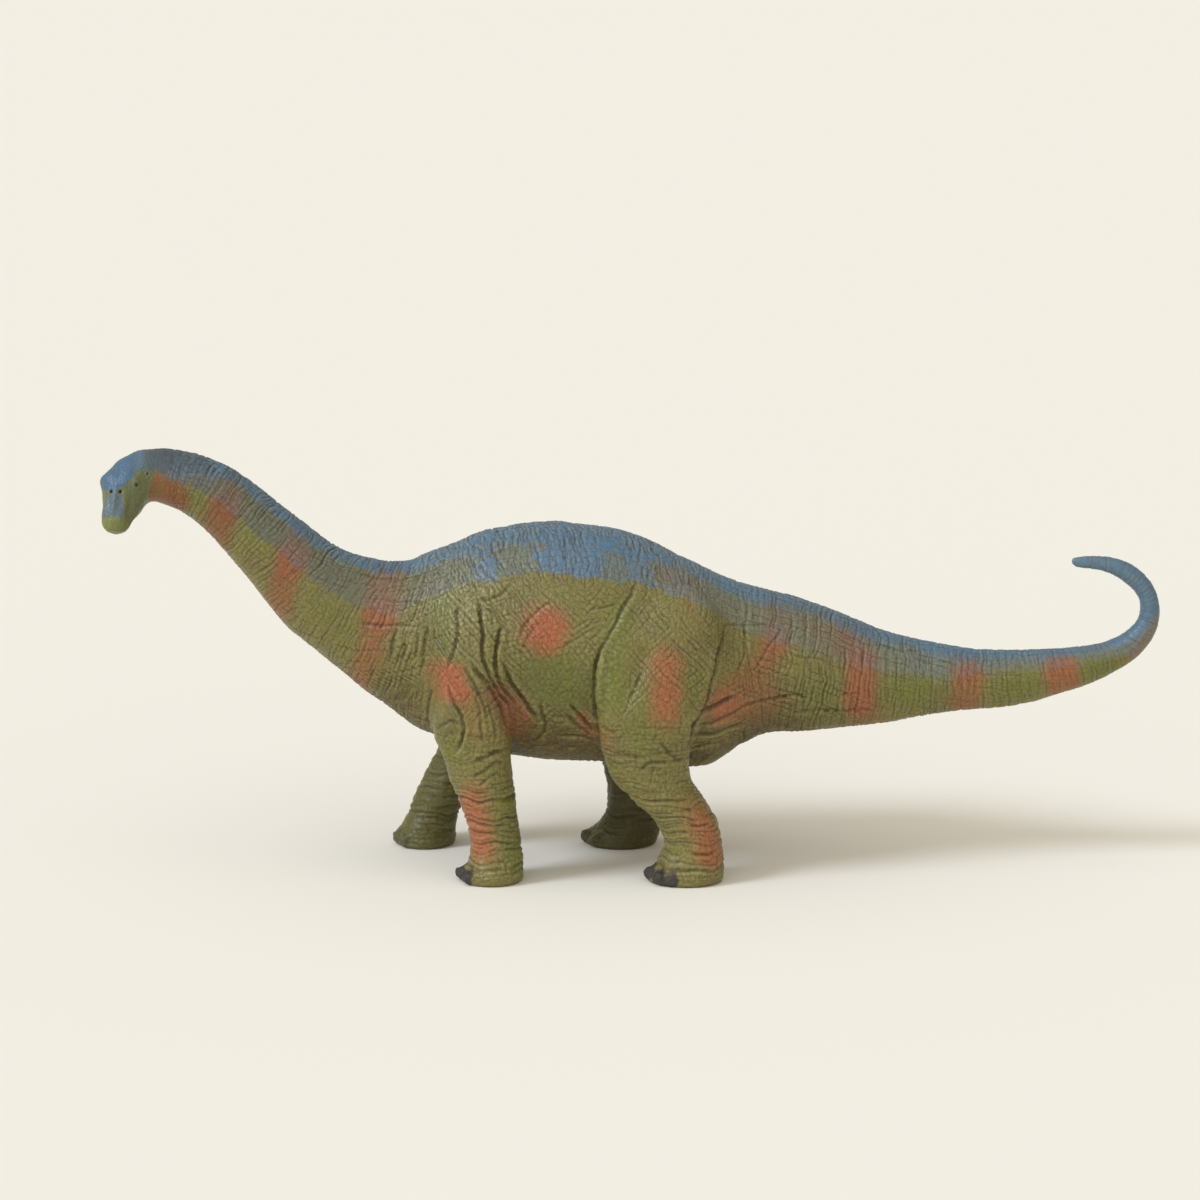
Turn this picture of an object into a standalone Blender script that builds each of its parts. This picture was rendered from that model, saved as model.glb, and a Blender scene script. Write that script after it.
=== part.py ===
"""Long-necked toy dinosaur: ten moulded vinyl pieces, plugged together and welded.

Metres, +Z up. The head points to -X and the animal's left side to -Y. The soles stand on
Z = 0, and the middle of the figure's length and width is over the origin.
"""
import math
from collections import namedtuple

import bmesh
import bpy
from mathutils import Vector

# Fit between neighbours
GAP = 0.0003
OVERRUN = 0.002

# Torso: belly height over the ground, and its greatest height, width and length
BELLY_HEIGHT = 0.030
TORSO_HEIGHT = 0.075
TORSO_WIDTH = 0.059
TORSO_LENGTH = 0.104
TORSO_WALL = 0.005
CHEST_SHARE = 0.615
CORE_SHARES = (0.16, 0.84)
SHOULDER_SHARE = 0.173
HIP_SHARE = 0.70

# Seam pins of the two torso halves
PIN_RADIUS = 0.0012
PIN_LENGTH = 0.003
PIN_ALONG_SHARES = (0.28, 0.5, 0.72)

# Neck and head
NECK_REACH = 0.0771
NECK_RISE = 0.0511
NECK_END_RADIUS = 0.0081
HEAD_FORWARD = 0.0121
HEAD_TURN = 0.0136
HEAD_DROP = 0.0151
HEAD_RADIUS = 0.0083

# Tail
TAIL_REACH = 0.1166
TAIL_LIFT = 0.0303
TAIL_END_RADIUS = 0.0017

# Limbs: outermost width, depth fore and aft, stride, and the seat inside the torso
HIP_WIDTH = 0.065
THIGH_DEPTH = 0.0362
HIND_STRIDE = 0.010
SHOULDER_WIDTH = 0.0632
FORELEG_DEPTH = 0.0224
FORE_STRIDE = 0.018
SEAT_WIDTH = 0.034
SEAT_SQUARENESS = 6
HIND_TOP_SHARE = 0.80
FORE_TOP_SHARE = 0.747

# Toes round the front of a foot
TOE_RADIUS = 0.0026
TOE_INSET_SHARE = 0.84
TOE_FLAT_SHARE = 0.8
TOE_ANGLES = (-48, 0, 48)

# Keyed plugs
NECK_PLUG_RADIUS = 0.008
TAIL_PLUG_RADIUS = 0.008
HEAD_PLUG_RADIUS = 0.004
WHIP_PLUG_RADIUS = 0.0045
HIND_PLUG_RADIUS = 0.007
FORE_PLUG_RADIUS = 0.0055
PLUG_LENGTH = 0.008
LEG_PLUG_LENGTH = 0.005
LEG_PLUG_SHARE = 0.72
PLUG_SIDES = 6

# Painted skin
VINYL_ROUGHNESS = 0.5

# Facets round each piece
TORSO_SIDES = 32
NECK_SIDES = 20
TAIL_SIDES = 18
LEG_SIDES = 20
PIN_SIDES = 12

# Share along the torso, then top and bottom as shares of its height over the belly, and width
TORSO_SHARES = (
    (0.000, 0.872, 0.160, 0.644),
    (0.096, 0.915, 0.115, 0.780),
    (0.192, 0.967, 0.073, 0.898),
    (0.288, 0.987, 0.051, 0.949),
    (0.404, 1.000, 0.036, 0.983),
    (0.519, 0.984, 0.029, 1.000),
    (0.635, 0.941, 0.020, 0.983),
    (0.750, 0.872, 0.007, 0.932),
    (0.846, 0.807, 0.016, 0.847),
    (0.923, 0.760, 0.087, 0.746),
    (1.000, 0.736, 0.139, 0.660),
)

# Shares of the reach and the rise, then of the thickness from the end (0) to the root (1)
NECK_SHARES = (
    (0.000, 0.000, 1.000),
    (0.101, 0.104, 0.739),
    (0.206, 0.151, 0.550),
    (0.304, 0.231, 0.428),
    (0.398, 0.315, 0.356),
    (0.479, 0.432, 0.267),
    (0.555, 0.550, 0.206),
    (0.634, 0.665, 0.156),
    (0.712, 0.783, 0.117),
    (0.796, 0.886, 0.089),
    (0.894, 0.961, 0.044),
    (1.000, 1.000, 0.000),
)
TAIL_SHARES = (
    (0.000, 0.000, 1.000),
    (0.064, -0.033, 0.923),
    (0.134, -0.079, 0.845),
    (0.203, -0.116, 0.744),
    (0.274, -0.152, 0.647),
    (0.344, -0.172, 0.556),
    (0.414, -0.178, 0.473),
    (0.485, -0.182, 0.411),
    (0.555, -0.191, 0.362),
    (0.625, -0.185, 0.343),
    (0.696, -0.155, 0.304),
    (0.764, -0.109, 0.251),
    (0.833, -0.053, 0.208),
    (0.900, 0.033, 0.150),
    (0.959, 0.172, 0.121),
    (1.000, 0.390, 0.082),
    (0.997, 0.663, 0.050),
    (0.950, 0.871, 0.043),
    (0.885, 0.980, 0.014),
    (0.815, 1.000, 0.000),
)
TAIL_SPLIT = 9

# Shares of the way forward, to the left and down, then of the half width and half height
HEAD_SHARES = (
    (0.000, 0.000, 0.000, 0.976, 0.976),
    (0.350, 0.060, 0.020, 0.965, 0.965),
    (0.640, 0.230, 0.110, 0.930, 0.930),
    (0.830, 0.450, 0.290, 0.860, 0.860),
    (0.920, 0.630, 0.500, 0.740, 0.740),
    (0.965, 0.800, 0.710, 0.610, 0.610),
    (0.985, 0.940, 0.900, 0.540, 0.470),
    (1.000, 1.000, 1.000, 0.350, 0.290),
)

# Shares of a leg's height and half depth, of the way out from the seat to the leg's
# outermost place, and of the way from the middle plane out to the seat (1 is on the seat)
HIND_SHARES = (
    (0.000, 0.600, 0.923, 0.747),
    (0.017, 0.657, 0.994, 0.682),
    (0.041, 0.608, 0.968, 0.706),
    (0.078, 0.547, 0.903, 0.741),
    (0.111, 0.486, 0.871, 0.782),
    (0.144, 0.470, 0.852, 0.794),
    (0.211, 0.519, 0.858, 0.765),
    (0.278, 0.608, 0.871, 0.735),
    (0.344, 0.652, 0.890, 0.735),
    (0.400, 0.690, 0.903, 0.824),
    (0.456, 0.740, 0.935, 1.000),
    (0.544, 0.873, 0.987, 1.000),
    (0.611, 0.945, 1.000, 1.000),
    (0.678, 0.972, 0.987, 1.000),
    (0.761, 1.000, 0.935, 1.000),
    (0.844, 0.923, 0.820, 1.000),
    (0.917, 0.785, 0.580, 1.000),
    (0.967, 0.600, 0.355, 1.000),
    (1.000, 0.390, 0.120, 1.000),
)
FORE_SHARES = (
    (0.000, 0.830, 0.932, 0.776),
    (0.017, 0.900, 1.000, 0.724),
    (0.043, 0.830, 0.973, 0.753),
    (0.081, 0.732, 0.911, 0.794),
    (0.116, 0.688, 0.877, 0.824),
    (0.186, 0.688, 0.877, 0.824),
    (0.291, 0.750, 0.911, 0.782),
    (0.360, 0.839, 0.945, 0.765),
    (0.430, 0.875, 0.959, 0.765),
    (0.488, 0.955, 0.959, 0.882),
    (0.576, 1.000, 0.932, 1.000),
    (0.680, 0.982, 0.904, 1.000),
    (0.767, 0.964, 0.863, 1.000),
    (0.837, 0.911, 0.795, 1.000),
    (0.907, 0.768, 0.685, 1.000),
    (0.965, 0.589, 0.520, 1.000),
    (1.000, 0.357, 0.380, 1.000),
)

# How far each ring of a leg stands behind its hip or shoulder, as a share of the stride
HIND_LEFT_SWAY_SHARES = (0.79, 0.76, 0.85, 0.94, 0.98, 0.96, 0.75, 0.24, -0.26, -0.38,
                         -0.43, -0.32, -0.27, -0.16, 0.00, 0.13, 0.20, 0.23, 0.24)
HIND_RIGHT_SWAY_SHARES = (-1.16, -1.19, -1.03, -0.80, -0.71, -0.71, -0.64, -0.63, -0.58, -0.52,
                          -0.47, -0.38, -0.35, -0.26, -0.15, -0.02, 0.05, 0.08, 0.09)
FORE_LEFT_SWAY_SHARES = (0.24, 0.23, 0.27, 0.32, 0.33, 0.28, 0.18, 0.09, 0.03, 0.00,
                         -0.01, 0.03, 0.01, 0.00, 0.02, 0.04, 0.04)
FORE_RIGHT_SWAY_SHARES = (-0.98, -0.99, -0.96, -0.90, -0.83, -0.71, -0.43, -0.21, -0.09, -0.03,
                          -0.02, 0.01, 0.00, 0.00, 0.02, 0.04, 0.04)

LEFT = -1
RIGHT = 1
UP = Vector((0, 0, 1))
ACROSS = Vector((0, 1, 0))
AFT = Vector((1, 0, 0))

Ring = namedtuple("Ring", "centre along across half_width half_height")
Leg = namedtuple("Leg", "name side at_x height depth width stride rows sways plug_radius")


def clear_scene():
    for item in list(bpy.data.objects):
        bpy.data.objects.remove(item, do_unlink=True)


def new_collection(name):
    collection = bpy.data.collections.new(name)
    bpy.context.scene.collection.children.link(collection)
    return collection


def vinyl(name, colour):
    """Painted soft vinyl, satin all over."""
    material = bpy.data.materials.new(name)
    material.use_nodes = True
    shader = material.node_tree.nodes["Principled BSDF"]
    shader.inputs["Base Color"].default_value = (*colour, 1)
    shader.inputs["Roughness"].default_value = VINYL_ROUGHNESS
    shader.inputs["Metallic"].default_value = 0
    material.diffuse_color = (*colour, 1)
    return material


def trunk_vinyl():
    return vinyl("trunk_vinyl", (0.074, 0.089, 0.033))


def neck_vinyl():
    return vinyl("neck_vinyl", (0.089, 0.106, 0.059))


def tail_vinyl():
    return vinyl("tail_vinyl", (0.084, 0.112, 0.068))


def head_vinyl():
    return vinyl("head_vinyl", (0.084, 0.147, 0.147))


def leg_vinyl():
    return vinyl("leg_vinyl", (0.068, 0.079, 0.025))


def finish_mesh(name, bm, collection):
    bmesh.ops.recalc_face_normals(bm, faces=bm.faces)
    mesh = bpy.data.meshes.new(name)
    bm.to_mesh(mesh)
    bm.free()
    mesh.shade_smooth()
    mesh.set_sharp_from_angle(angle=math.radians(40))
    made = bpy.data.objects.new(name, mesh)
    collection.objects.link(made)
    return made


def loft(name, rings, collection):
    """Skin a row of rings of equal point counts and close both ends."""
    bm = bmesh.new()
    loops = [[bm.verts.new(point) for point in ring] for ring in rings]
    for loop, following in zip(loops, loops[1:]):
        for index in range(len(loop)):
            after = (index + 1) % len(loop)
            bm.faces.new((loop[index], loop[after], following[after], following[index]))
    bm.faces.new(loops[0])
    bm.faces.new(loops[-1])
    return finish_mesh(name, bm, collection)


def as_cutter(item):
    item.hide_render = True
    item.display_type = "WIRE"
    return item


def combine(piece, other, operation):
    change = piece.modifiers.new(other.name, "BOOLEAN")
    change.operation = operation
    change.solver = "EXACT"
    change.object = as_cutter(other)


def cut(piece, cutter):
    combine(piece, cutter, "DIFFERENCE")


def join(piece, addition):
    combine(piece, addition, "UNION")


def prism(name, start, direction, length, radius, sides, collection):
    """A plug or a bore: a straight prism from start along direction, standing on a corner."""
    bm = bmesh.new()
    bmesh.ops.create_cone(bm, cap_ends=True, segments=sides, radius1=radius, radius2=radius,
                          depth=length)
    made = finish_mesh(name, bm, collection)
    made.rotation_mode = "QUATERNION"
    made.rotation_quaternion = direction.to_track_quat("Z", "Y")
    made.location = start + direction * (length / 2)
    return made


def keyed_plug(name, owner, hosts, root, direction, length, radius, cutters):
    """A six-sided plug on its owner, and its socket in each host."""
    start = root - direction * OVERRUN
    join(owner, prism(name, start, direction, length + OVERRUN, radius, PLUG_SIDES, cutters))
    for host in hosts:
        socket = prism(f"{name}_socket_{host.name}", start, direction,
                       length + OVERRUN + GAP, radius + GAP, PLUG_SIDES, cutters)
        cut(host, socket)


def blend(low, high, share):
    return low + (high - low) * share


def refine(rows):
    """Put one more row between each two, on a smooth curve through them."""
    finer = []
    for index in range(len(rows) - 1):
        before = rows[max(index - 1, 0)]
        after = rows[min(index + 2, len(rows) - 1)]
        here, there = rows[index], rows[index + 1]
        finer.append(here)
        finer.append(tuple((9 * (b + c) - a - d) / 16 for a, b, c, d in
                           zip(before, here, there, after)))
    finer.append(rows[-1])
    return finer


def torso_x(share):
    return (share - CHEST_SHARE) * TORSO_LENGTH


def torso_ring(row):
    along, top, bottom, width = row
    low = BELLY_HEIGHT + TORSO_HEIGHT * bottom
    high = BELLY_HEIGHT + TORSO_HEIGHT * top
    centre = Vector((torso_x(along), 0, (low + high) / 2))
    return Ring(centre, AFT, ACROSS, TORSO_WIDTH / 2 * width, (high - low) / 2)


def ring_points(ring, sides):
    """A ring of points round the ring's own axis, the first one on the animal's right."""
    rise = ring.along.cross(ring.across)
    points = []
    for step in range(sides):
        turn = 2 * math.pi * step / sides
        points.append(ring.centre + ring.across * (ring.half_width * math.cos(turn))
                      + rise * (ring.half_height * math.sin(turn)))
    return points


def half_ring_points(ring, side, sides):
    """The half of a torso ring on one side, cut flat half a gap from the middle plane."""
    points = []
    for step in range(sides // 2 + 1):
        turn = math.pi * (step / (sides // 2) - 1 / 2)
        out = max(ring.half_width * math.cos(turn), GAP / 2)
        points.append(ring.centre + ACROSS * (side * out) + UP * (ring.half_height * math.sin(turn)))
    return points


def path_rings(places, half_widths, half_heights, first_along):
    """Rings square to a path without twist, the first one square to the piece that it meets."""
    rings = []
    last = len(places) - 1
    across = ACROSS
    for index, place in enumerate(places):
        along = places[min(index + 1, last)] - places[max(index - 1, 0)]
        along = first_along if index == 0 else along.normalized()
        across = (across - along * across.dot(along)).normalized()
        rings.append(Ring(place, along, across, half_widths[index], half_heights[index]))
    return rings


def move_first(rings, distance):
    """Start a piece the given distance further along, clear of its neighbour."""
    first = rings[0]
    return [first._replace(centre=first.centre + first.along * distance)] + list(rings[1:])


def limb_rings(shares, root, end_radius, reach, rise):
    """The rings of the neck (reach below zero) or the tail, from the torso outwards."""
    places = [root.centre + AFT * (reach * a) + UP * (rise * b) for a, b, _ in shares]
    heights = [blend(end_radius, root.half_height, c) for _, _, c in shares]
    flatness = root.half_width / root.half_height
    widths = []
    for height, (_, _, share) in zip(heights, shares):
        widths.append(height * blend(1, flatness, share))
    first_along = AFT if reach > 0 else -AFT
    return path_rings(places, widths, heights, first_along)


def head_rings(root):
    places = []
    for forward, turned, dropped, _, _ in HEAD_SHARES:
        places.append(root.centre - AFT * (HEAD_FORWARD * forward) - ACROSS * (HEAD_TURN * turned)
                      - UP * (HEAD_DROP * dropped))
    widths = [root.half_width] + [HEAD_RADIUS * row[3] for row in HEAD_SHARES[1:]]
    heights = [root.half_height] + [HEAD_RADIUS * row[4] for row in HEAD_SHARES[1:]]
    return path_rings(places, widths, heights, root.along)


def make_torso_half(name, side, parts, cutters):
    """A half shell round a plain core, with a flat rim on the middle plane."""
    rows = refine(TORSO_SHARES)
    half = loft(name, [half_ring_points(torso_ring(row), side, TORSO_SIDES) for row in rows], parts)
    core_rings = []
    for row in rows:
        if CORE_SHARES[0] <= row[0] <= CORE_SHARES[1]:
            ring = torso_ring(row)
            half_width = min(ring.half_width, SEAT_WIDTH / 2) - TORSO_WALL
            core_rings.append(ring._replace(half_width=half_width,
                                            half_height=ring.half_height - TORSO_WALL))
    core = loft(f"{name}_core", [ring_points(ring, TORSO_SIDES) for ring in core_rings], cutters)
    cut(half, core)
    return half


def torso_row_at(share):
    """The torso's measures at a share of its length."""
    for here, there in zip(TORSO_SHARES, TORSO_SHARES[1:]):
        if share <= there[0]:
            part = (share - here[0]) / (there[0] - here[0])
            return tuple(blend(a, b, part) for a, b in zip(here, there))
    return TORSO_SHARES[-1]


def pin_seams(pinned, holed, cutters):
    """Pins on one torso half and holes in the other, along the back and under the belly."""
    for share in PIN_ALONG_SHARES:
        ring = torso_ring(torso_row_at(share))
        for label, sign in (("back", 1), ("belly", -1)):
            height = sign * (ring.half_height - TORSO_WALL / 2)
            root = ring.centre + UP * height - ACROSS * OVERRUN
            length = OVERRUN + GAP + PIN_LENGTH
            name = f"seam_pin_{label}_{round(share * 100)}"
            join(pinned, prism(name, root, ACROSS, length, PIN_RADIUS, PIN_SIDES, cutters))
            hole = prism(f"{name}_hole", root, ACROSS, length + GAP, PIN_RADIUS + GAP,
                         PIN_SIDES, cutters)
            cut(holed, hole)


def leg_ring(leg, row, sway, clearance):
    """One level ring of a leg: round below the belly, square to its seat inside the torso."""
    height, depth, outer, inner = row
    seat = SEAT_WIDTH / 2
    out_y = blend(seat, leg.width / 2, outer) + clearance
    in_y = seat * inner - clearance
    half_depth = leg.depth / 2 * depth + clearance
    middle_y = (out_y + in_y) / 2
    half_y = (out_y - in_y) / 2
    x = leg.at_x + leg.stride * sway
    points = []
    for step in range(LEG_SIDES):
        turn = 2 * math.pi * step / LEG_SIDES
        c, s = math.cos(turn), math.sin(turn)
        power = 2 / SEAT_SQUARENESS if inner == 1 and s < 0 else 1
        along = math.copysign(abs(c) ** power, c) * half_depth
        out = middle_y + math.copysign(abs(s) ** power, s) * half_y
        points.append(Vector((x + along, leg.side * out, height * leg.height)))
    return points


def leg_form(leg, clearance, name, collection):
    rings = [leg_ring(leg, row, sway, clearance) for row, sway in zip(leg.rows, leg.sways)]
    rings[-1] = [point + UP * clearance for point in rings[-1]]
    return loft(name, rings, collection)


def add_toes(piece, leg, cutters):
    """Three blunt toes round the front of the foot."""
    _, depth, outer, inner = leg.rows[1]
    out_y = blend(SEAT_WIDTH / 2, leg.width / 2, outer)
    in_y = SEAT_WIDTH / 2 * inner
    x = leg.at_x + leg.stride * leg.sways[1]
    y = (out_y + in_y) / 2
    half_depth = leg.depth / 2 * depth
    half_width = (out_y - in_y) / 2
    for index, degrees in enumerate(TOE_ANGLES):
        turn = math.radians(degrees)
        bm = bmesh.new()
        bmesh.ops.create_uvsphere(bm, u_segments=10, v_segments=8, radius=TOE_RADIUS)
        toe = finish_mesh(f"{leg.name}_toe_{index + 1}", bm, cutters)
        toe.location = (x - half_depth * TOE_INSET_SHARE * math.cos(turn),
                        leg.side * (y + half_width * TOE_INSET_SHARE * math.sin(turn)),
                        TOE_RADIUS * TOE_FLAT_SHARE + GAP)
        toe.scale = (1, 1, TOE_FLAT_SHARE)
        join(piece, toe)


def make_leg(leg, torso_half, parts, cutters):
    """A leg with a squared seat and a keyed plug in its torso half."""
    piece = leg_form(leg, 0, leg.name, parts)
    cut(torso_half, leg_form(leg, GAP, f"{leg.name}_pocket", cutters))
    add_toes(piece, leg, cutters)
    inward = ACROSS * -leg.side
    root = Vector((leg.at_x, leg.side * SEAT_WIDTH / 2, leg.height * LEG_PLUG_SHARE))
    keyed_plug(f"{leg.name}_plug", piece, [torso_half], root, inward,
               LEG_PLUG_LENGTH, leg.plug_radius, cutters)
    return piece


def leg_list():
    hip_x = torso_x(HIP_SHARE)
    shoulder_x = torso_x(SHOULDER_SHARE)
    hind_height = BELLY_HEIGHT + TORSO_HEIGHT * HIND_TOP_SHARE
    fore_height = BELLY_HEIGHT + TORSO_HEIGHT * FORE_TOP_SHARE
    legs = []
    for side, word, sways in ((LEFT, "left", HIND_LEFT_SWAY_SHARES),
                              (RIGHT, "right", HIND_RIGHT_SWAY_SHARES)):
        legs.append(Leg(f"hind_{word}_leg", side, hip_x, hind_height, THIGH_DEPTH, HIP_WIDTH,
                        HIND_STRIDE, HIND_SHARES, sways, HIND_PLUG_RADIUS))
    for side, word, sways in ((LEFT, "left", FORE_LEFT_SWAY_SHARES),
                              (RIGHT, "right", FORE_RIGHT_SWAY_SHARES)):
        legs.append(Leg(f"front_{word}_leg", side, shoulder_x, fore_height, FORELEG_DEPTH,
                        SHOULDER_WIDTH, FORE_STRIDE, FORE_SHARES, sways, FORE_PLUG_RADIUS))
    return legs


def make_neck(rings, halves, parts, cutters):
    seated = move_first(rings, GAP)
    neck = loft("neck", [ring_points(ring, NECK_SIDES) for ring in seated], parts)
    keyed_plug("neck_plug", neck, halves, seated[0].centre, AFT,
               PLUG_LENGTH, NECK_PLUG_RADIUS, cutters)
    return neck


def make_head(root, neck, parts, cutters):
    seated = move_first(head_rings(root), GAP)
    head = loft("head", [ring_points(ring, NECK_SIDES) for ring in seated], parts)
    keyed_plug("head_plug", head, [neck], seated[0].centre, -seated[0].along,
               PLUG_LENGTH, HEAD_PLUG_RADIUS, cutters)
    return head


def make_tail_base(rings, halves, parts, cutters):
    seated = move_first(rings, GAP)
    base = loft("tail_base", [ring_points(ring, TAIL_SIDES) for ring in seated], parts)
    keyed_plug("tail_plug", base, halves, seated[0].centre, -AFT,
               PLUG_LENGTH, TAIL_PLUG_RADIUS, cutters)
    return base


def make_tail_tip(rings, tail_base, parts, cutters):
    seated = move_first(rings, GAP)
    tip = loft("tail_tip", [ring_points(ring, TAIL_SIDES) for ring in seated], parts)
    keyed_plug("whip_plug", tip, [tail_base], seated[0].centre, -seated[0].along,
               PLUG_LENGTH, WHIP_PLUG_RADIUS, cutters)
    return tip


def paint(pieces, material):
    for piece in pieces:
        piece.data.materials.append(material)


def build():
    clear_scene()
    parts = new_collection("toy_dinosaur_figure")
    cutters = new_collection("cutters")

    left = make_torso_half("torso_left", LEFT, parts, cutters)
    right = make_torso_half("torso_right", RIGHT, parts, cutters)
    pin_seams(left, right, cutters)
    paint([left, right], trunk_vinyl())

    chest = torso_ring(TORSO_SHARES[0])
    neck_rings = limb_rings(NECK_SHARES, chest, NECK_END_RADIUS, -NECK_REACH, NECK_RISE)
    neck = make_neck(neck_rings, [left, right], parts, cutters)
    head = make_head(neck_rings[-1], neck, parts, cutters)
    paint([neck], neck_vinyl())
    paint([head], head_vinyl())

    rump = torso_ring(TORSO_SHARES[-1])
    tail_rings = limb_rings(TAIL_SHARES, rump, TAIL_END_RADIUS, TAIL_REACH, TAIL_LIFT)
    base = make_tail_base(tail_rings[:TAIL_SPLIT], [left, right], parts, cutters)
    tip = make_tail_tip(tail_rings[TAIL_SPLIT - 1:], base, parts, cutters)
    paint([base, tip], tail_vinyl())

    halves = {LEFT: left, RIGHT: right}
    legs = [make_leg(leg, halves[leg.side], parts, cutters) for leg in leg_list()]
    paint(legs, leg_vinyl())


build()
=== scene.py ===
# %% [markdown]
# # A painted vinyl dinosaur
#
# The real figure is soft vinyl, cast from a hand-sculpted original and then spray-painted. The
# imported CAD parts give its form and its joints, but they are smooth. This lesson copies them,
# carves the wrinkled skin into the copies, and paints it as the factory does: green vinyl,
# terracotta spots, a blue haze, a solid blue back, a brown wash and a few dark toenails.
# Painted shade and painted highlights go in among these coats.

# %% Load the imported parts
import math

import bmesh
import bpy
import numpy as np
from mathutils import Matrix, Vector


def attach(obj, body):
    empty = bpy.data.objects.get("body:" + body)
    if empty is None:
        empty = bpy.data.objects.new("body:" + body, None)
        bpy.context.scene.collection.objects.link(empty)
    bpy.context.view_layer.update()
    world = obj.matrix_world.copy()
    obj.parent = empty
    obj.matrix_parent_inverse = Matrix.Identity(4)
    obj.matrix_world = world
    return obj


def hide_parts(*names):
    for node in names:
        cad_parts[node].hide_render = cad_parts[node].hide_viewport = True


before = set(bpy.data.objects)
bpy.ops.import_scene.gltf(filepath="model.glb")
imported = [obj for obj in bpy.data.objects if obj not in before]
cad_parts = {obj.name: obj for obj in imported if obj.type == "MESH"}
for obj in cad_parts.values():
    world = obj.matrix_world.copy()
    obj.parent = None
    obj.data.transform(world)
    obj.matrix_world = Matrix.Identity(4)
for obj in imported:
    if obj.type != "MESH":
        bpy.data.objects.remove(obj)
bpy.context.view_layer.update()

MM = 0.001
print("CAD parts:", ", ".join(sorted(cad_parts)))

# %% [markdown]
# ## The camera
#
# Every marking is placed by its spot in a flat side view, so the camera comes first. It stands
# 1.1 m from the figure and looks down at it by 11 degrees. The drawing has 1200 units a side, as
# the photograph has, and one unit at the figure's middle plane is about 0.3 mm.

# %% Set up the camera
AIM = Vector((-9.06, 0, 81.4)) * MM
DISTANCE = 1.1
PITCH = math.radians(11)
DRAWING = 1200
UNIT = 0.302 * MM

camera_data = bpy.data.cameras.new("camera")
camera_data.sensor_width = 36
camera_data.lens = 36 * DISTANCE / (DRAWING * UNIT)
camera = bpy.data.objects.new("camera", camera_data)
camera.location = AIM + Vector((0, -math.cos(PITCH), math.sin(PITCH))) * DISTANCE
camera.rotation_euler = (math.pi / 2 - PITCH, 0, 0)
bpy.context.scene.collection.objects.link(camera)
bpy.context.scene.camera = camera
print("lens", round(camera_data.lens, 1), "mm")


# %% Places on the drawing
def on_drawing(points):
    """Where points in metres fall on the flat drawing, in its units, right and down."""
    forward = np.array((0, math.cos(PITCH), -math.sin(PITCH)))
    up = np.array((0, math.sin(PITCH), math.cos(PITCH)))
    offset = points - np.array(camera.location)
    scale = DISTANCE / (offset @ forward) / UNIT
    middle = DRAWING / 2
    return np.stack((middle + offset[:, 0] * scale, middle - offset @ up * scale), axis=1)


# %% [markdown]
# ## One closed skin
#
# The carved folds run across the joints, so all the copies are first fused into one skin. A voxel
# remesh does that: it throws a fine grid over the solids and keeps only the outside. The copies
# are merged first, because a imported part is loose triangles, and puffed up a little, so that the
# thin gaps between the parts close.

# %% Fuse copies of the parts
FINE_VOXEL = 0.76 * MM
VOXEL = FINE_VOXEL
PUFF = 0.2 * MM


def linked(name, mesh):
    """A new object for a mesh, in the scene."""
    thing = bpy.data.objects.new(name, mesh)
    bpy.context.scene.collection.objects.link(thing)
    return thing


def with_modifier(thing, kind, **settings):
    """The mesh that one modifier makes of an object."""
    modifier = thing.modifiers.new(kind.lower(), kind)
    for setting, value in settings.items():
        setattr(modifier, setting, value)
    view = bpy.context.evaluated_depsgraph_get()
    mesh = bpy.data.meshes.new_from_object(thing.evaluated_get(view), depsgraph=view)
    thing.modifiers.remove(modifier)
    return mesh


def opened(mesh):
    """A bmesh with the shape of a mesh."""
    form = bmesh.new()
    form.from_mesh(mesh)
    return form


def copy_of(names, puff):
    """A bmesh with merged copies of CAD parts, puffed out along their normals."""
    form = bmesh.new()
    for name in names:
        form.from_mesh(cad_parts[name].data)
    bmesh.ops.remove_doubles(form, verts=form.verts, dist=0.001 * MM)
    form.normal_update()
    for vert in form.verts:
        vert.co += vert.normal * puff
    return form


def solid_mesh(name, form):
    """A mesh made from a bmesh, which is freed."""
    mesh = bpy.data.meshes.new(name)
    form.to_mesh(mesh)
    form.free()
    return mesh


blank = linked("blank", solid_mesh("blank", copy_of(sorted(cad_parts), PUFF)))
skin = with_modifier(blank, "REMESH", mode="VOXEL", voxel_size=VOXEL)
bpy.data.objects.remove(blank)
print("fused skin:", len(skin.vertices), "points")


# %% Read and move its points
def triples(source, name):
    """Three numbers for each item of a mesh's list, as rows."""
    flat = np.empty(len(source) * 3, np.float32)
    source.foreach_get(name, flat)
    return flat.reshape(-1, 3).astype(float)


def read_points(mesh):
    """The places of a mesh's points, in metres."""
    return triples(mesh.vertices, "co")


def read_normals(mesh):
    """The outward directions of a mesh's points."""
    return triples(mesh.vertex_normals, "vector")


def write_points(mesh, places):
    """Moves a mesh's points to places in metres."""
    mesh.vertices.foreach_set("co", places.astype(np.float32).ravel())
    mesh.update()


def push(mesh, height):
    """Moves each point along its normal, by height in millimetres."""
    write_points(mesh, read_points(mesh) + read_normals(mesh) * height[:, None] * MM)


def eased(value, low, high):
    """0 below low, 1 above high, and a soft ramp between."""
    share = np.clip((value - low) / (high - low), 0, 1)
    return share * share * (3 - 2 * share)


# %% [markdown]
# ## Coordinates that follow the animal
#
# Folds on a neck run round it, wherever it bends. So each point gets three numbers that follow
# the body: how far it is along the spine, how far above it, and how far out to the side. The
# spine is a short list of measured points, made smooth.

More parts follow.
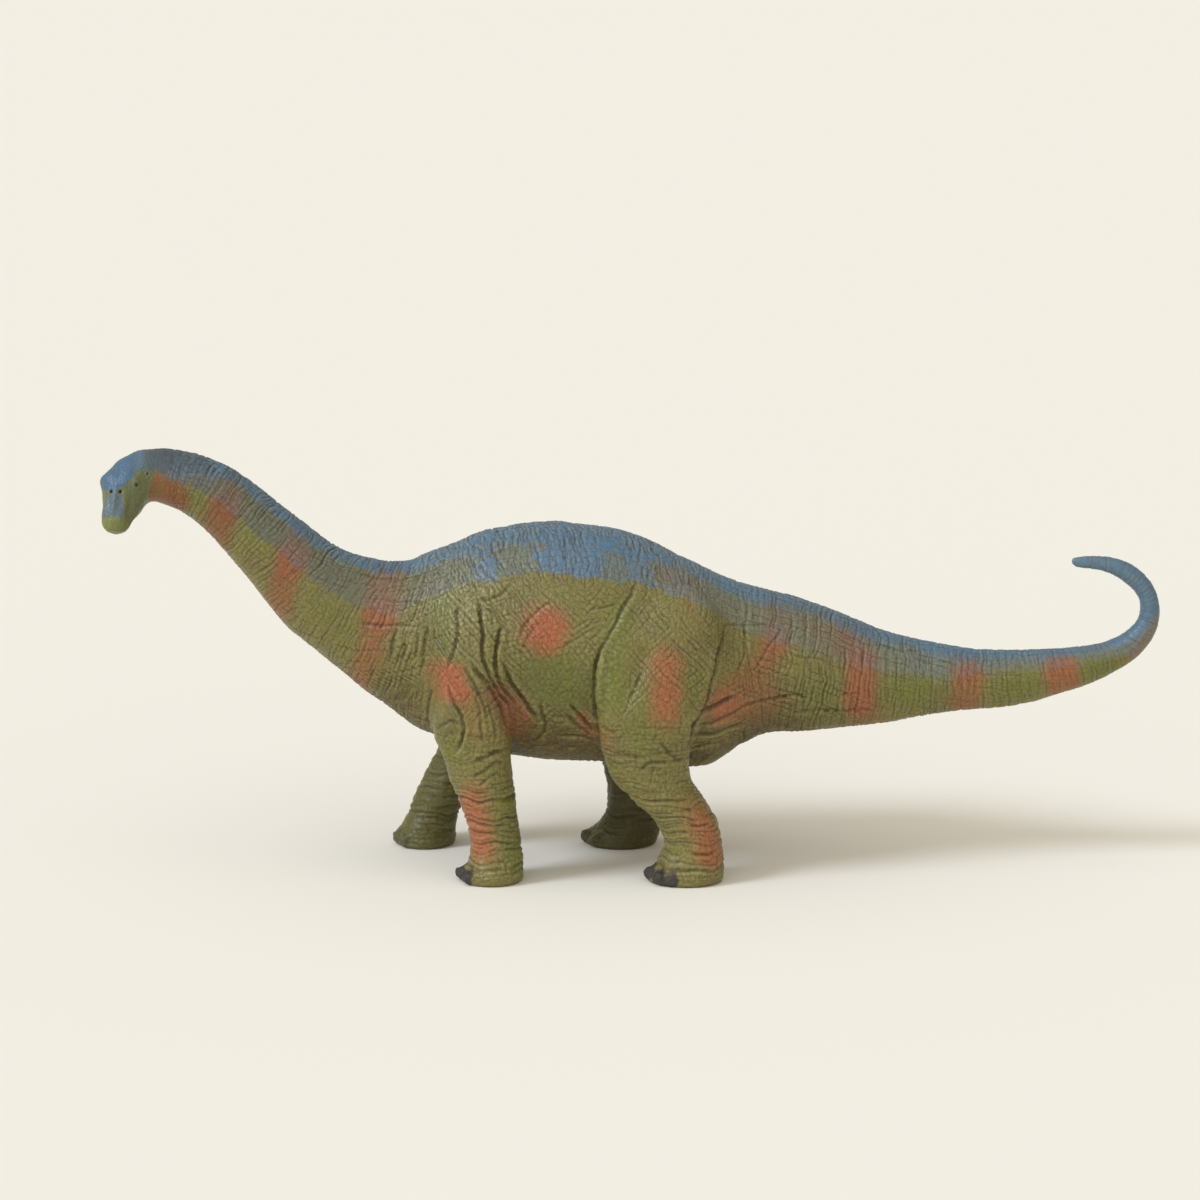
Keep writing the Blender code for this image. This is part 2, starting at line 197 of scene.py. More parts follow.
# %% The line of the spine
SPINE = (
    (-150, 119, 8), (-141, 120, 8), (-133, 118, 9), (-125, 114, 10), (-119, 109, 10),
    (-113, 103, 11), (-107, 97, 12), (-101, 91, 13), (-95, 85, 14), (-87, 80, 16),
    (-80, 76, 18), (-72, 73, 21), (-64, 70, 26), (-54, 68.5, 30), (-44, 69, 33),
    (-34, 68.5, 35), (-22, 68.5, 36), (-10, 68, 36), (2, 66, 34), (14, 63, 32),
    (24, 61.5, 29), (32, 61.5, 25),
    (40.0, 62.8, 22.0), (47.5, 61.8, 20.4), (55.6, 60.4, 18.9), (63.7, 59.3, 16.8),
    (71.9, 58.2, 14.8), (80.1, 57.6, 13.0), (88.3, 57.4, 11.3), (96.6, 57.3, 10.0),
    (104.7, 57.0, 9.0), (112.9, 57.2, 8.7), (121.2, 58.1, 7.9), (129.1, 59.5, 6.8),
    (137.1, 61.2, 5.9), (144.9, 63.8, 4.7), (151.8, 68.0, 4.2), (156.6, 74.6, 3.4),
    (156.3, 82.9, 2.7), (150.8, 89.2, 2.6), (143.2, 92.5, 2.0), (135.0, 93.1, 1.7),
)


def even_spine(step=1.5):
    """The spine as places, sizes and lengths at even steps, in millimetres."""
    table = np.array(SPINE, float)
    run = np.r_[0, np.cumsum(np.hypot(*np.diff(table[:, :2], axis=0).T))]
    along = np.arange(0, run[-1], step)
    line = np.stack([np.interp(along, run, column) for column in table.T], axis=1)
    for _ in range(6):
        line[1:-1] = (line[:-2] + 2 * line[1:-1] + line[2:]) / 4
    return line, along


spine_line, spine_run = even_spine()
BATCH = 20000


def nearest(places, line):
    """Which point of a line lies nearest to each flat place."""
    gap = places[:, None, :] - line[None]
    return (gap ** 2).sum(axis=2).argmin(axis=1)


def body_places(points):
    """Along, above and beside the spine in millimetres, and the body's half height there."""
    found = np.empty((len(points), 4))
    heading = np.gradient(spine_line[:, :2], axis=0)
    heading /= np.linalg.norm(heading, axis=1)[:, None]
    found[:, 2] = points[:, 1] / MM
    for start in range(0, len(points), BATCH):
        batch = slice(start, start + BATCH)
        flat = points[batch][:, (0, 2)] / MM
        near = nearest(flat, spine_line[:, :2])
        offset = flat - spine_line[near, :2]
        found[batch, 0] = spine_run[near] + (offset * heading[near]).sum(axis=1)
        found[batch, 1] = offset[:, 1] * heading[near, 0] - offset[:, 0] * heading[near, 1]
        found[batch, 3] = spine_line[near, 2]
    return found


print("spine:", round(float(spine_run[-1])), "mm long")

# %% [markdown]
# ## An even curl
#
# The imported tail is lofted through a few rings, so its curl is a chain of short straight pieces.
# A smooth curve through the same ring centres shows how far each piece lies off a round curl, and
# the skin's points are shifted by just that much. The tip also reaches 2.4 mm further round.

# %% Round the curl of the tail
def through(line, steps):
    """Straight and smooth places between the points of a line, steps for each span."""
    line = np.array(line, float)
    ends = np.vstack((2 * line[0] - line[1], line, 2 * line[-1] - line[-2]))
    straight, smooth = [], []
    for a, b, c, d in zip(ends, ends[1:], ends[2:], ends[3:]):
        for t in np.arange(steps) / steps:
            straight.append(b + (c - b) * t)
            smooth.append(b + 0.5 * t * (c - a + t * (2 * a - 5 * b + 4 * c - d
                                                      + t * (3 * (b - c) + d - a))))
    return np.array(straight), np.array(smooth)


CURL_START = 112
TIP = (132.6, 93.2)
CURL_STEPS = 20
whip = [row[:2] for row in SPINE if row[0] > 110]
straight, _ = through(whip, CURL_STEPS)
_, smooth = through(whip[:-1] + [TIP], CURL_STEPS)
points = read_points(skin)
curl = np.flatnonzero(points[:, 0] > CURL_START * MM)
shift = (smooth - straight)[nearest(points[curl][:, (0, 2)] / MM, straight)]
points[curl, 0] += shift[:, 0] * MM
points[curl, 2] += shift[:, 1] * MM
write_points(skin, points)
print("curl moved by up to", round(float(np.abs(shift).max()), 2), "mm")

# %% [markdown]
# ## Soften the joints
#
# On the real animal the shoulder and the hip swell out of the flank with no step. bmesh's
# smooth_vert moves each point towards its neighbours, and a few passes over everything also take
# away the grid's stairs. Many more passes over the tops of the legs melt them into the trunk.

# %% Smooth the skin
def smooth_where(form, keep, passes):
    """Smooths the points that keep() picks by their place in millimetres."""
    picked = [vert for vert in form.verts if keep(vert.co / MM)]
    for _ in range(passes):
        bmesh.ops.smooth_vert(form, verts=picked, factor=0.5, use_axis_x=True,
                              use_axis_y=True, use_axis_z=True)
    return len(picked)


def everywhere(place):
    """Picks every point."""
    return True


SOFTENED = (
    # region, passes on the fine grid, which points belong to it
    ("hips", 44, lambda place: -18 < place.x < 46 and 48 < place.z < 98 and abs(place.y) > 9),
    ("shoulders", 36,
     lambda place: -74 < place.x < -20 and 40 < place.z < 97 and abs(place.y) > 9),
    ("seams", 34,
     lambda place: place.z > 34 and (abs(place.x + 66) < 11 or abs(place.x - 40) < 8)),
    ("neck", 16, lambda place: -134 < place.x < -70),
    ("curl", 7, lambda place: place.x > CURL_START),
)
COARSER = (FINE_VOXEL / VOXEL) ** 2
form = opened(skin)
smooth_where(form, lambda place: place.x < 120, 4)
for region, passes, keep in SOFTENED:
    print(region, smooth_where(form, keep, int(passes * COARSER)), "points softened")
smooth_where(form, everywhere, 1)
skin = solid_mesh("skin", form)

# %% [markdown]
# ## Fine enough to carve
#
# The finest folds are about half a millimetre wide. One Subdivision Surface level halves the grid
# to under 0.4 mm, which can hold them. The head's grid is divided once before that, because its
# eyes and nostrils are the smallest things on the figure.

# %% Divide the skin
HEAD_EDGE = -134.5 * MM
form = opened(skin)
head_edges = [edge for edge in form.edges
              if all(v.co.x < HEAD_EDGE and v.co.z > 90 * MM for v in edge.verts)]
bmesh.ops.subdivide_edges(form, edges=head_edges, cuts=1, use_grid_fill=True)
skin = solid_mesh("skin", form)
whole = linked("whole", skin)
skin = with_modifier(whole, "SUBSURF", levels=1, render_levels=1)
bpy.data.objects.remove(whole)
print("fine skin:", len(skin.vertices), "points")

# %% [markdown]
# ## The side drawing
#
# The left side faces the camera, and the right side mirrors it. The legs stride, so a right leg's
# point is first slid back to where the left leg has the same spot. Marks are only laid on faces
# that look outwards, not on the insides of the legs.

# %% Lay the points on the drawing
FORE_STRIDE = ((0, 22), (9, 21), (15, 18), (23, 11), (28, 5.4), (34, 2), (40, 0))
HIND_STRIDE = ((0, 19.5), (7, 17.4), (12, 16.7), (18, 14), (23, 8.7), (29, 3.2), (36, 0))
MID_TRUNK = -25
TAIL_ROOT = 40


def drawing_places(points):
    """The left-side drawing's place of each point, right-side points mirrored."""
    mirrored = points.copy()
    height = points[:, 2] / MM
    right = (points[:, 1] > 5 * MM) & (points[:, 0] < TAIL_ROOT * MM)
    fore = points[:, 0] < MID_TRUNK * MM
    for stride, legs in ((FORE_STRIDE, fore), (HIND_STRIDE, ~fore)):
        slide = np.interp(height, *np.array(stride, float).T) * MM
        mirrored[:, 0] += np.where(right & legs, slide, 0)
    mirrored[:, 1] = -np.abs(points[:, 1])
    return on_drawing(mirrored)


def outward(points, normals):
    """How much each point faces away from the middle plane, from -1 to 1."""
    return normals[:, 1] * np.where(points[:, 1] > 0, 1, -1)


# %% [markdown]
# ## Big folds
#
# The armpit, the groin and the tail root have a few deep folds that give the figure its
# character. Each is drawn as a line with a depth and a width in millimetres. The skin sinks along
# the line and swells a little beside it, as a real fold does.

# %% The drawn folds
FOLDS = (
    # depth, width, lean, line
    (0.7, 0.5, 0, ((456, 604), (455, 612), (456, 635), (452, 655), (447, 667), (443, 683))),
    (0.9, 0.5, 0, ((478, 600), (481, 612), (483, 626), (482, 645), (484, 660), (491, 677),
                (500, 692), (509, 706), (514, 722))),
    (0.85, 0.46, 0.4, ((504, 627), (499, 631), (496, 646), (495, 658), (497, 671), (500, 682),
                (507, 692), (515, 703), (521, 714))),
    (0.85, 0.52, 0.7, ((504, 664), (511, 681), (520, 695), (528, 705), (534, 715), (536, 722))),
    (0.6, 0.45, 0, ((540, 700), (542, 715), (546, 724), (545, 733), (536, 741), (525, 743),
                (512, 742))),
    (0.5, 0.42, 0, ((448, 681), (450, 692), (454, 706), (460, 717), (464, 729), (463, 740),
                (459, 748), (453, 755))),
    (0.76, 0.58, 0, ((470, 663), (479, 675), (489, 684), (496, 696), (502, 707), (506, 720),
                (508, 730))),
    (0.35, 0.45, 0, ((472, 694), (478, 708), (481, 721), (482, 734), (484, 748))),
    (0.35, 0.45, 0, ((487, 702), (492, 716), (496, 730), (498, 742))),
    (0.4, 0.46, 0, ((477, 600), (491, 599), (500, 595), (507, 588), (511, 579))),
    (0.28, 0.46, 0, ((519, 642), (522, 630), (530, 618), (539, 608), (550, 602), (562, 603))),
    (0.24, 0.42, 0, ((524, 650), (527, 640), (534, 628), (543, 619))),
    (0.2, 0.4, 0, ((570, 638), (581, 630), (595, 622), (620, 616))),
    (0.18, 0.4, 0, ((573, 629), (584, 622), (600, 616))),
    (0.24, 0.42, 0, ((563, 648), (574, 640), (590, 630), (606, 624))),
    (0.24, 0.42, 0, ((590, 610), (604, 607), (622, 600))),
    (0.75, 0.5, 0.5, ((570, 705), (579, 715), (587, 725), (598, 734))),
    (0.48, 0.54, 0, ((566, 717), (578, 728), (592, 736))),
    (0.4, 0.5, 0, ((556, 736), (577, 737), (598, 741))),
    (0.4, 0.5, 0, ((526, 747), (556, 745), (586, 750))),
    (0.45, 1.7, 0, ((615, 636), (606, 650), (598, 664), (592, 680), (590, 700), (592, 722))),
    (0.4, 0.6, 1, ((637, 584), (631, 594), (623, 606), (616, 622))),
    (0.36, 0.5, 0.4, ((623, 606), (616, 622), (607, 638), (601, 650), (597, 662), (595, 677))),
    (0.74, 0.52, 0.4, ((601, 650), (597, 662), (595, 677), (593, 690), (593, 702), (594, 714),
                (597, 729), (601, 746))),
    (1.1, 3, 0, ((646, 640), (642, 658), (637, 672), (631, 686), (626, 698), (622, 709),
                (616, 724))),
    (0.32, 0.46, 0, ((643, 668), (636, 684), (631, 696), (626, 709), (620, 722))),
    (1.1, 0.62, -1, ((725, 627), (722, 650), (719, 664), (715, 677), (711, 694), (705, 709),
                (699, 719), (693, 727), (691, 740), (688, 752), (687, 762))),
    (0.35, 0.45, 0, ((640, 770), (645, 767), (652, 763), (664, 762), (674, 765))),
    (0.25, 0.45, 0, ((610, 756), (629, 757), (647, 760))),
    (0.35, 0.55, 0, ((659, 740), (668, 752), (677, 760), (687, 764))),
    (0.24, 0.46, 0, ((602, 728), (611, 732), (621, 728))),
    (0.4, 0.5, 0.5, ((433, 684), (429, 698), (427, 712), (430, 724), (435, 734))),
    (0.3, 0.38, 0, ((441, 730), (450, 720), (460, 724), (464, 736), (460, 750), (450, 758))),
    (0.22, 0.36, 0, ((446, 740), (452, 731), (457, 737), (453, 749))),
    (0.5, 0.5, 0, ((463, 664), (472, 680), (480, 698), (487, 716), (490, 734))),
    (0.85, 0.56, 0, ((703, 712), (716, 706), (727, 700), (739, 694))),
    (0.36, 0.4, 0, ((694, 727), (711, 723), (730, 714), (744, 707), (758, 702), (772, 699),
                (786, 696), (797, 694), (821, 695))),
    (0.75, 0.48, 0, ((692, 738), (713, 733), (730, 727), (749, 723))),
    (0.5, 0.46, 0, ((690, 749), (709, 745), (724, 742))),
    (0.5, 0.46, 0, ((688, 759), (702, 758), (717, 752))),
    (0.4, 0.42, 0, ((722, 752), (742, 744), (760, 735), (778, 731))),
    (0.4, 0.42, 0, ((712, 768), (730, 762), (745, 752))),
    (0.26, 0.42, 0, ((772, 700), (793, 695), (810, 697))),
    (0.42, 0.44, 0, ((793, 715), (810, 712), (838, 710), (862, 710), (893, 712))),
    (0.24, 0.38, 0, ((841, 695), (862, 693))),
    (0.22, 0.38, 0, ((722, 625), (750, 625), (780, 624))),
    (0.2, 0.38, 0, ((788, 653), (801, 657), (817, 658), (845, 663))),
    (0.2, 0.38, 0, ((871, 644), (902, 651), (928, 649))),
    (0.2, 0.38, 0, ((914, 658), (938, 661), (961, 665))),
    (0.3, 0.4, 0, ((746, 600), (745, 625), (745, 653), (740, 667), (732, 684))),
    (0.24, 0.4, 0, ((792, 612), (791, 634), (788, 650))),
    (0.26, 0.4, 0, ((781, 625), (779, 634), (768, 648), (759, 663), (750, 679))),
    (0.24, 0.4, 0, ((864, 641), (863, 656), (865, 672))),
    (0.4, 0.5, 0, ((398, 625), (392, 646), (389, 667))),
    (0.4, 0.5, 0, ((406, 642), (401, 661))),
    (0.4, 0.5, 0, ((419, 632), (416, 649), (412, 664))),
    (0.4, 0.5, 0, ((429, 623), (424, 649), (419, 675))),
    (0.32, 0.42, 0, ((358, 573), (382, 577), (402, 579))),
    (0.32, 0.42, 0, ((360, 622), (382, 627), (404, 625), (426, 627))),
    (0.28, 0.42, 0, ((384, 601), (413, 601), (430, 604))),
    (0.32, 0.46, 0, ((397, 708), (416, 718), (434, 724))),
    (0.4, 0.5, 0, ((472, 762), (486, 758), (497, 752), (508, 752))),
    (0.35, 0.45, 0, ((470, 777), (484, 771), (497, 763), (506, 762))),
    (0.3, 0.45, 0, ((478, 786), (490, 777), (504, 772))),
)
UNITS_PER_MM = MM / UNIT


def line_gap(places, line):
    """The gap of each place to a drawn line, how far along it is (0 to 1), and its side."""
    line = np.array(line, float)
    best = np.full(len(places), 1e9)
    share = np.zeros(len(places))
    side = np.zeros(len(places))
    for index, (a, b) in enumerate(zip(line[:-1], line[1:])):
        leg = b - a
        t = np.clip((places - a) @ leg / (leg @ leg), 0, 1)
        gap = np.linalg.norm(places - a - t[:, None] * leg, axis=1)
        nearer = gap < best
        best[nearer] = gap[nearer]
        share[nearer] = (index + t[nearer]) / (len(line) - 1)
        turn = leg[1] * (places[:, 0] - a[0]) - leg[0] * (places[:, 1] - a[1])
        side[nearer] = np.sign(turn[nearer])
    return best, share, side


def fold_heights(places, wobble):
    """The skin's height in millimetres along all the drawn folds."""
    height = np.zeros(len(places))
    for depth, width, lean, line in FOLDS:
        margin = 3 + 7.5 * width * UNITS_PER_MM
        low, high = np.min(line, axis=0) - margin, np.max(line, axis=0) + margin
        near = np.all((places > low) & (places < high), axis=1)
        gap, share, side = line_gap(places[near] + wobble[near], line)
        gap = gap / UNITS_PER_MM / width
        fade = eased(share, -0.05, 0.16) * eased(1 - share, -0.03, 0.34)
        lip = 0.26 + 0.36 * lean * side
        height[near] += depth * fade * (lip * np.exp(-((gap - 3.1) / 2.1) ** 2)
                                        - np.exp(-gap ** 2))
    return height


# %% [markdown]
# ## Noise for the skin
#
# Soft noise gives lumps. Crack noise gives leathery cells: it scatters seeds over a grid and
# returns the distance to the border between the two nearest ones. A sculptor also draws thin
# strokes with a needle. Those are rows of lines, each broken up along its length. Blender's own
# textures can't be read point by point from a script, so the three are written out with numpy.

# %% Noise in numpy
def scatter(cell, salt):
    """Steady numbers from 0 to 1 for whole-number cells."""
    mixed = cell.astype(np.int64) @ np.array((73856093, 19349663, 83492791)) + salt * 9973
    mixed = (mixed ^ (mixed >> 13)) * 1274126177 & 0x7FFFFFFF
    mixed = (mixed ^ (mixed >> 11)) * 668265263 & 0x7FFFFFFF
    return (mixed & 0xFFFFF) / 0xFFFFF


def lumps(points, size, salt):
    """Soft noise from 0 to 1, with lumps of a size in millimetres."""
    grid = points / np.asarray(size, float)
    base = np.floor(grid)
    t = grid - base
    t = t * t * (3 - 2 * t)
    total = np.zeros(len(points))
    for corner in np.ndindex(2, 2, 2):
        weight = np.prod(np.where(np.array(corner), t, 1 - t), axis=1)
        total += weight * scatter(base + corner, salt)
    return total


def cracks(points, size, salt):
    """The distance in millimetres to the nearest border of stretched cells."""
    size = np.asarray(size, float)
    grid = points / size
    base = np.floor(grid)
    first = np.full(len(points), 9.0)
    second = np.full(len(points), 9.0)
    to_first = np.zeros_like(grid)
    to_second = np.zeros_like(grid)
    for corner in np.ndindex(3, 3, 3):
        cell = base + corner - 1
        seed = cell + 0.1 + 0.8 * np.stack([scatter(cell, salt + k) for k in (0, 1, 2)], axis=1)
        offset = grid - seed
        gap = np.sqrt((offset ** 2).sum(axis=1))
        closest = gap < first
        next_one = ~closest & (gap < second)
        second = np.where(closest, first, np.where(next_one, gap, second))
        to_second = np.where(closest[:, None], to_first,
                             np.where(next_one[:, None], offset, to_second))
        first = np.where(closest, gap, first)
        to_first = np.where(closest[:, None], offset, to_first)
    turn = to_second / second[:, None] - to_first / np.maximum(first, 1e-6)[:, None]
    steep = np.linalg.norm(turn / size, axis=1)
    return (second - first) / np.maximum(steep, 0.05)


def groove(gap, width):
    """1 in the middle of a line and 0 away from it."""
    return np.exp(-(gap / width) ** 2)


def strokes(across_them, along_them, spacing, length, width, salt):
    """Thin lines in uneven rows, each broken into strokes, as 1 on a line and 0 beside it."""
    height = np.zeros(len(across_them))
    row = np.floor(across_them / spacing)
    for step in (-1, 0, 1):
        near = row + step
        key = np.stack((near, near * 0 + salt, near * 0), axis=1)
        middle = (near + 0.5 + 0.6 * (scatter(key, salt) - 0.5)) * spacing
        spot = np.stack((near * 7.31, along_them / length + near * 3.7, near * 0 + salt), axis=1)
        height = np.maximum(height, groove(across_them - middle, width)
                            * eased(lumps(spot, 1, salt), 0.34, 0.66))
    return height


def on_part(part, make):
    """What make() gives for the points where a mask is above 0, and 0 elsewhere."""
    picked = np.flatnonzero(part > 0)
    values = np.zeros(len(part))
    values[picked] = make(picked)
    return values


# %% [markdown]
# ## The carved skin
#
# The wrinkles change from place to place. Fine rings go round the neck and the tail, with longer
# lines across them that leave small bricks. The back has short upright strokes, the flank has
# crossed diagonals, and the shins have stacked folds. Soft masks blend the patterns.

# %% Carve the big folds
BELLY_LINE = 748
ELBOW, ELBOW_SIZE, ELBOW_RISE = (441, 720), (13, 27), 2.4
WHIP_SWELL = ((-2.4, -0.2), (0, 0.1), (4, 0.3), (9, 0.42), (16, 0.45), (30, 0))
points = read_points(skin)
normals = read_normals(skin)
places = drawing_places(points)
wobble = np.stack((lumps(points / MM, 5, 1) - 0.5, lumps(points / MM, 5, 2) - 0.5), axis=1) * 3
facing = outward(points, normals)
right_leg = (places[:, 1] > BELLY_LINE) & (points[:, 1] > 0)
outside = eased(facing, -0.05, 0.4) * ~right_leg
outside *= 1 - eased(-points[:, 0] / MM, 126, 132)
deep = fold_heights(places, wobble) * outside
swell = (lumps(points / MM, 13, 5) - 0.5) * 0.9 * eased(140 - np.abs(points[:, 0] / MM), 20, 60)
off_elbow = np.hypot(*((places - ELBOW) / ELBOW_SIZE).T)
swell += ELBOW_RISE * np.exp(-off_elbow ** 2) * eased(np.abs(points[:, 1]) / MM, 7, 12)
whip_end = np.flatnonzero(points[:, 0] > 125 * MM)
to_tip = spine_run[-1] - body_places(points[whip_end])[:, 0]
swell[whip_end] += np.interp(to_tip, *np.array(WHIP_SWELL).T)
push(skin, deep + swell)
print("deepest fold:", round(float(-deep.min()), 2), "mm")

# %% Masks for the patterns
points = read_points(skin)
body = body_places(points)
flat = points / MM
height, side = flat[:, 2], np.abs(flat[:, 1])
across, down = places.T
leg = eased(height, 58, 42) * eased(side, 7, 11) * (across > 380) * (across < 745)
neck = eased(across, 470, 400)
tail = eased(across, 700, 745)
slim = eased(across, 1000, 1130)
back = eased(body[:, 1] / body[:, 3], 0.45, 0.8) * (1 - neck) * (1 - tail)
flank = (1 - neck) * (1 - tail) * (1 - leg)
root = eased(across, 700, 730) * eased(across, 960, 850)
shoulder = eased(across, 395, 440) * eased(across, 560, 500) * eased(down, 690, 640)


def calm(x, y, wide, tall):
    """A soft oval on the drawing, 1 in its middle."""
    return eased(np.hypot((across - x) / wide, (down - y) / tall), 1.2, 0.6)


smooth_parts = np.clip(0.75 * calm(565, 682, 44, 34) + 0.8 * calm(614, 665, 18, 62)
                       + 0.4 * calm(650, 725, 34, 34), 0, 0.9)
bend = np.stack([lumps(flat, 6, salt) + 0.4 * lumps(flat, 2.4, salt + 3) - 0.7
                 for salt in (11, 14, 17)], axis=1) * 1.7
along = body[:, 0] + bend[:, 0]
around = np.arctan2(body[:, 2], body[:, 1]) * body[:, 3] + bend[:, 1]
strong = 0.55 + 0.9 * lumps(flat, 8, 95)
print("patterns laid out on", len(points), "points")


# %% Rings and cross lines on the neck and the tail
def drawn(part, over, along, spacing, length, width, salt):
    """Strokes, sized in millimetres, on the points where a mask is above 0."""
    return on_part(part, lambda at: strokes(over[at], along[at], spacing, length, width, salt))


slender = neck + tail
base = np.maximum(root, eased(across, 300, 370) * neck)
fine_rings = drawn(slender, along, around, 1.2, 4, 0.26, 20)
deep_rings = drawn(slender, along, around, 2.7, 8, 0.33, 21)
lengthwise = strokes(around, along, 2.4, 6, 0.3, 22)
long_lines = drawn(base, around + 0.4 * bend[:, 2], along, 4.6, 16, 0.3, 23)
ring_height = -slender * ((0.19 + 0.05 * base) * fine_rings + (0.15 + 0.1 * base) * lengthwise
                          + (0.16 + 0.08 * base) * deep_rings + 0.1 * base * long_lines)
ring_height *= (1 - 0.5 * slim) * strong
top_cuts = drawn(neck, along, around, 1.9, 2.6, 0.34, 24)
ring_height -= 0.26 * neck * top_cuts * eased(body[:, 1] / body[:, 3], 0.5, 0.75)
print("rings done")

# %% Strokes on the back and the flank
upright = drawn(flank, along + 0.22 * around, around, 1.0, 3.4, 0.26, 30)
long_upright = drawn(flank, along, around, 2.3, 5, 0.32, 31)
rising = (flat[:, 0] + flat[:, 2]) * 0.7 + bend[:, 0]
falling = (flat[:, 0] - flat[:, 2]) * 0.7 + bend[:, 1]
diagonal = drawn(flank, rising, falling, 1.3, 5.2, 0.26, 40)
counter = drawn(flank, falling, rising, 1.5, 5.2, 0.26, 41)
leather = on_part(flank + leg, lambda at: groove(cracks((flat + bend)[at], (1.9, 1.9, 1.9), 90),
                                                 0.27))
patch = lumps(flat, 9, 96)
flank_height = -(1 - smooth_parts) * flank * strong * (
    np.maximum(back, 0.15) * (0.26 * upright + 0.2 * long_upright + 0.08 * lengthwise)
    + (1 - back) * (0.23 * diagonal * eased(patch, 0.2, 0.55)
                    + 0.22 * counter * eased(patch, 0.8, 0.45) + 0.12 * leather))
flank_height -= 0.12 * smooth_parts * flank * leather
flank_height -= 0.14 * shoulder * (upright + diagonal + lengthwise) * eased(down, 700, 660)
crest = eased(body[:, 1] / body[:, 3], 0.75, 1) * flank
bumps = lumps(np.stack((along, around * 0, around * 0), axis=1), 6, 97) - 0.5
flank_height += 0.9 * crest * bumps
print("strokes done")

# %% Folds round the legs
leg_bend = np.stack([lumps(flat, 5, salt) - 0.5 for salt in (101, 102, 103)], axis=1) * 2.2
level = height + leg_bend[:, 2]
round_leg = flat[:, 0] + flat[:, 1] + leg_bend[:, 0]
stacked = drawn(leg, level, round_leg, 2.5, 9, 0.46, 110)
fine_stack = drawn(leg, level, round_leg, 1.15, 4, 0.28, 111)
steep = drawn(leg, round_leg, level, 2.6, 4, 0.33, 112)
knobs = lumps(flat, (3.4, 3.4, 2.4), 113) - 0.5
ankle = eased(height, 34, 26) * eased(height, 3, 6)
leg_height = -leg * ((0.14 + 0.4 * ankle) * stacked + (0.11 + 0.15 * ankle) * fine_stack
                     + 0.13 * steep + 0.14 * leather - 0.5 * knobs)
sole = eased(height, 0.6, 2.2)
pebbles = (lumps(flat, 0.9, 130) + lumps(flat, 1.7, 131) - 1) * (0.09 + 0.14 * smooth_parts)
texture = (ring_height + flank_height + leg_height + pebbles) * sole
texture *= 1 - eased(-flat[:, 0], 134, 141)
push(skin, texture)
print("finest groove:", round(float(-texture.min()), 2), "mm")

# %% [markdown]
# ## The head
#
# The head is only 25 mm long, and its snout points down and to the animal's left, straight at the
# camera. Its marks get their own three numbers: how far down the snout, how far to the side of
# its middle line, and how far above its axis. The nostrils sit high on the snout, as the real
# animal's do, between the eyes.

# %% Head coordinates
SNOUT = Vector((-153.4, -10.9, 109.2))
ALONG = Vector((-0.110, -0.551, -0.827)).normalized()
SIDE = Vector((-0.994, 0.0615, 0.0912)).normalized()
ABOVE = SIDE.cross(ALONG)


def head_places(flat):
    """Down the snout, to the side and above the axis, in millimetres."""
    offset = flat - np.array(SNOUT)
    return (offset @ np.array(ALONG), offset @ np.array(SIDE), offset @ np.array(ABOVE))


print("top of the snout faces", [round(v, 2) for v in ABOVE])

# %% Carve the head
points = read_points(skin)
flat = points / MM
normals = read_normals(skin)
reach, aside, above = head_places(flat)
across, down = drawing_places(points).T
on_head = eased(-flat[:, 0], 137, 141) * (height > 90)
top = on_head * eased(normals @ np.array(ABOVE), 0.0, 0.35)
OVALS = (
    # height, place down the snout and beside its middle line, half length, half width
    (0.75, -9.1, 5.4, 1.6, 1.3), (0.35, -10.5, 2.6, 3.0, 1.5), (0.35, -3.0, 0, 5.2, 0.55),
    (-0.3, -1.8, 1.7, 3.4, 0.8), (0.25, 1.5, 2.2, 2.2, 1.0), (-0.2, -10.5, 0, 2.6, 0.6),
    (-0.3, -6.9, 3.3, 0.9, 1.5), (0.25, -5.3, 1.45, 1.0, 0.95), (-1.1, -5.3, 1.45, 0.55, 0.5),
)
OUTLINE = (
    # height, place on the drawing, half width, half height
    (1.15, 138, 514, 8, 11), (0.85, 103, 473, 6, 7), (0.45, 101, 479, 5, 4),
    (-0.5, 101, 497, 6, 9),
)
EYE_RINGS = ((0.03, 0.95, 0.3), (-0.24, 0, 0.6), (-0.06, 1.7, 0.25), (-0.05, 2.5, 0.25))
EAR_RINGS = ((-0.4, 0, 0.45), (-0.1, 1.5, 0.25), (-0.08, 2.3, 0.25))


def hill(x, y, wide, tall):
    """A soft bump, 1 where x and y are 0."""
    return np.exp(-(x / wide) ** 2 - (y / tall) ** 2)


EYE_LEFT = np.array((-146.9, -11.1, 118.4))
FAR_EYE_DROP = 5.2
EYE_RIGHT = (EYE_LEFT - 2 * np.array(SIDE) * ((EYE_LEFT - np.array(SNOUT)) @ np.array(SIDE))
             - FAR_EYE_DROP * np.array(ABOVE))
eye_gap = np.minimum(np.linalg.norm(flat - EYE_LEFT, axis=1),
                     np.linalg.norm(flat - EYE_RIGHT, axis=1))
ear_gap = np.linalg.norm((flat - (-143.7, -8.5, 121.3)) * (1.3, 1.3, 0.9), axis=1)
shape = -0.8 * on_head * groove(reach + 1, 3.6) * eased(np.abs(aside), 3.2, 5)
for rise, t, w, long, wide in OVALS:
    for middle in {w, -w}:
        shape += rise * top * hill(reach - t, aside - middle, long, wide)
for rise, x, y, wide, tall in OUTLINE:
    shape += rise * on_head * hill(across - x, down - y, wide, tall)
for gap, rings in ((eye_gap, EYE_RINGS), (ear_gap, EAR_RINGS)):
    for rise, radius, wide in rings:
        shape += rise * on_head * groove(gap - radius, wide)
mouth = groove(above - 0.4 - 0.12 * reach, 0.28) * eased(reach, -5.5, -2.5) * on_head
shape -= 0.4 * mouth
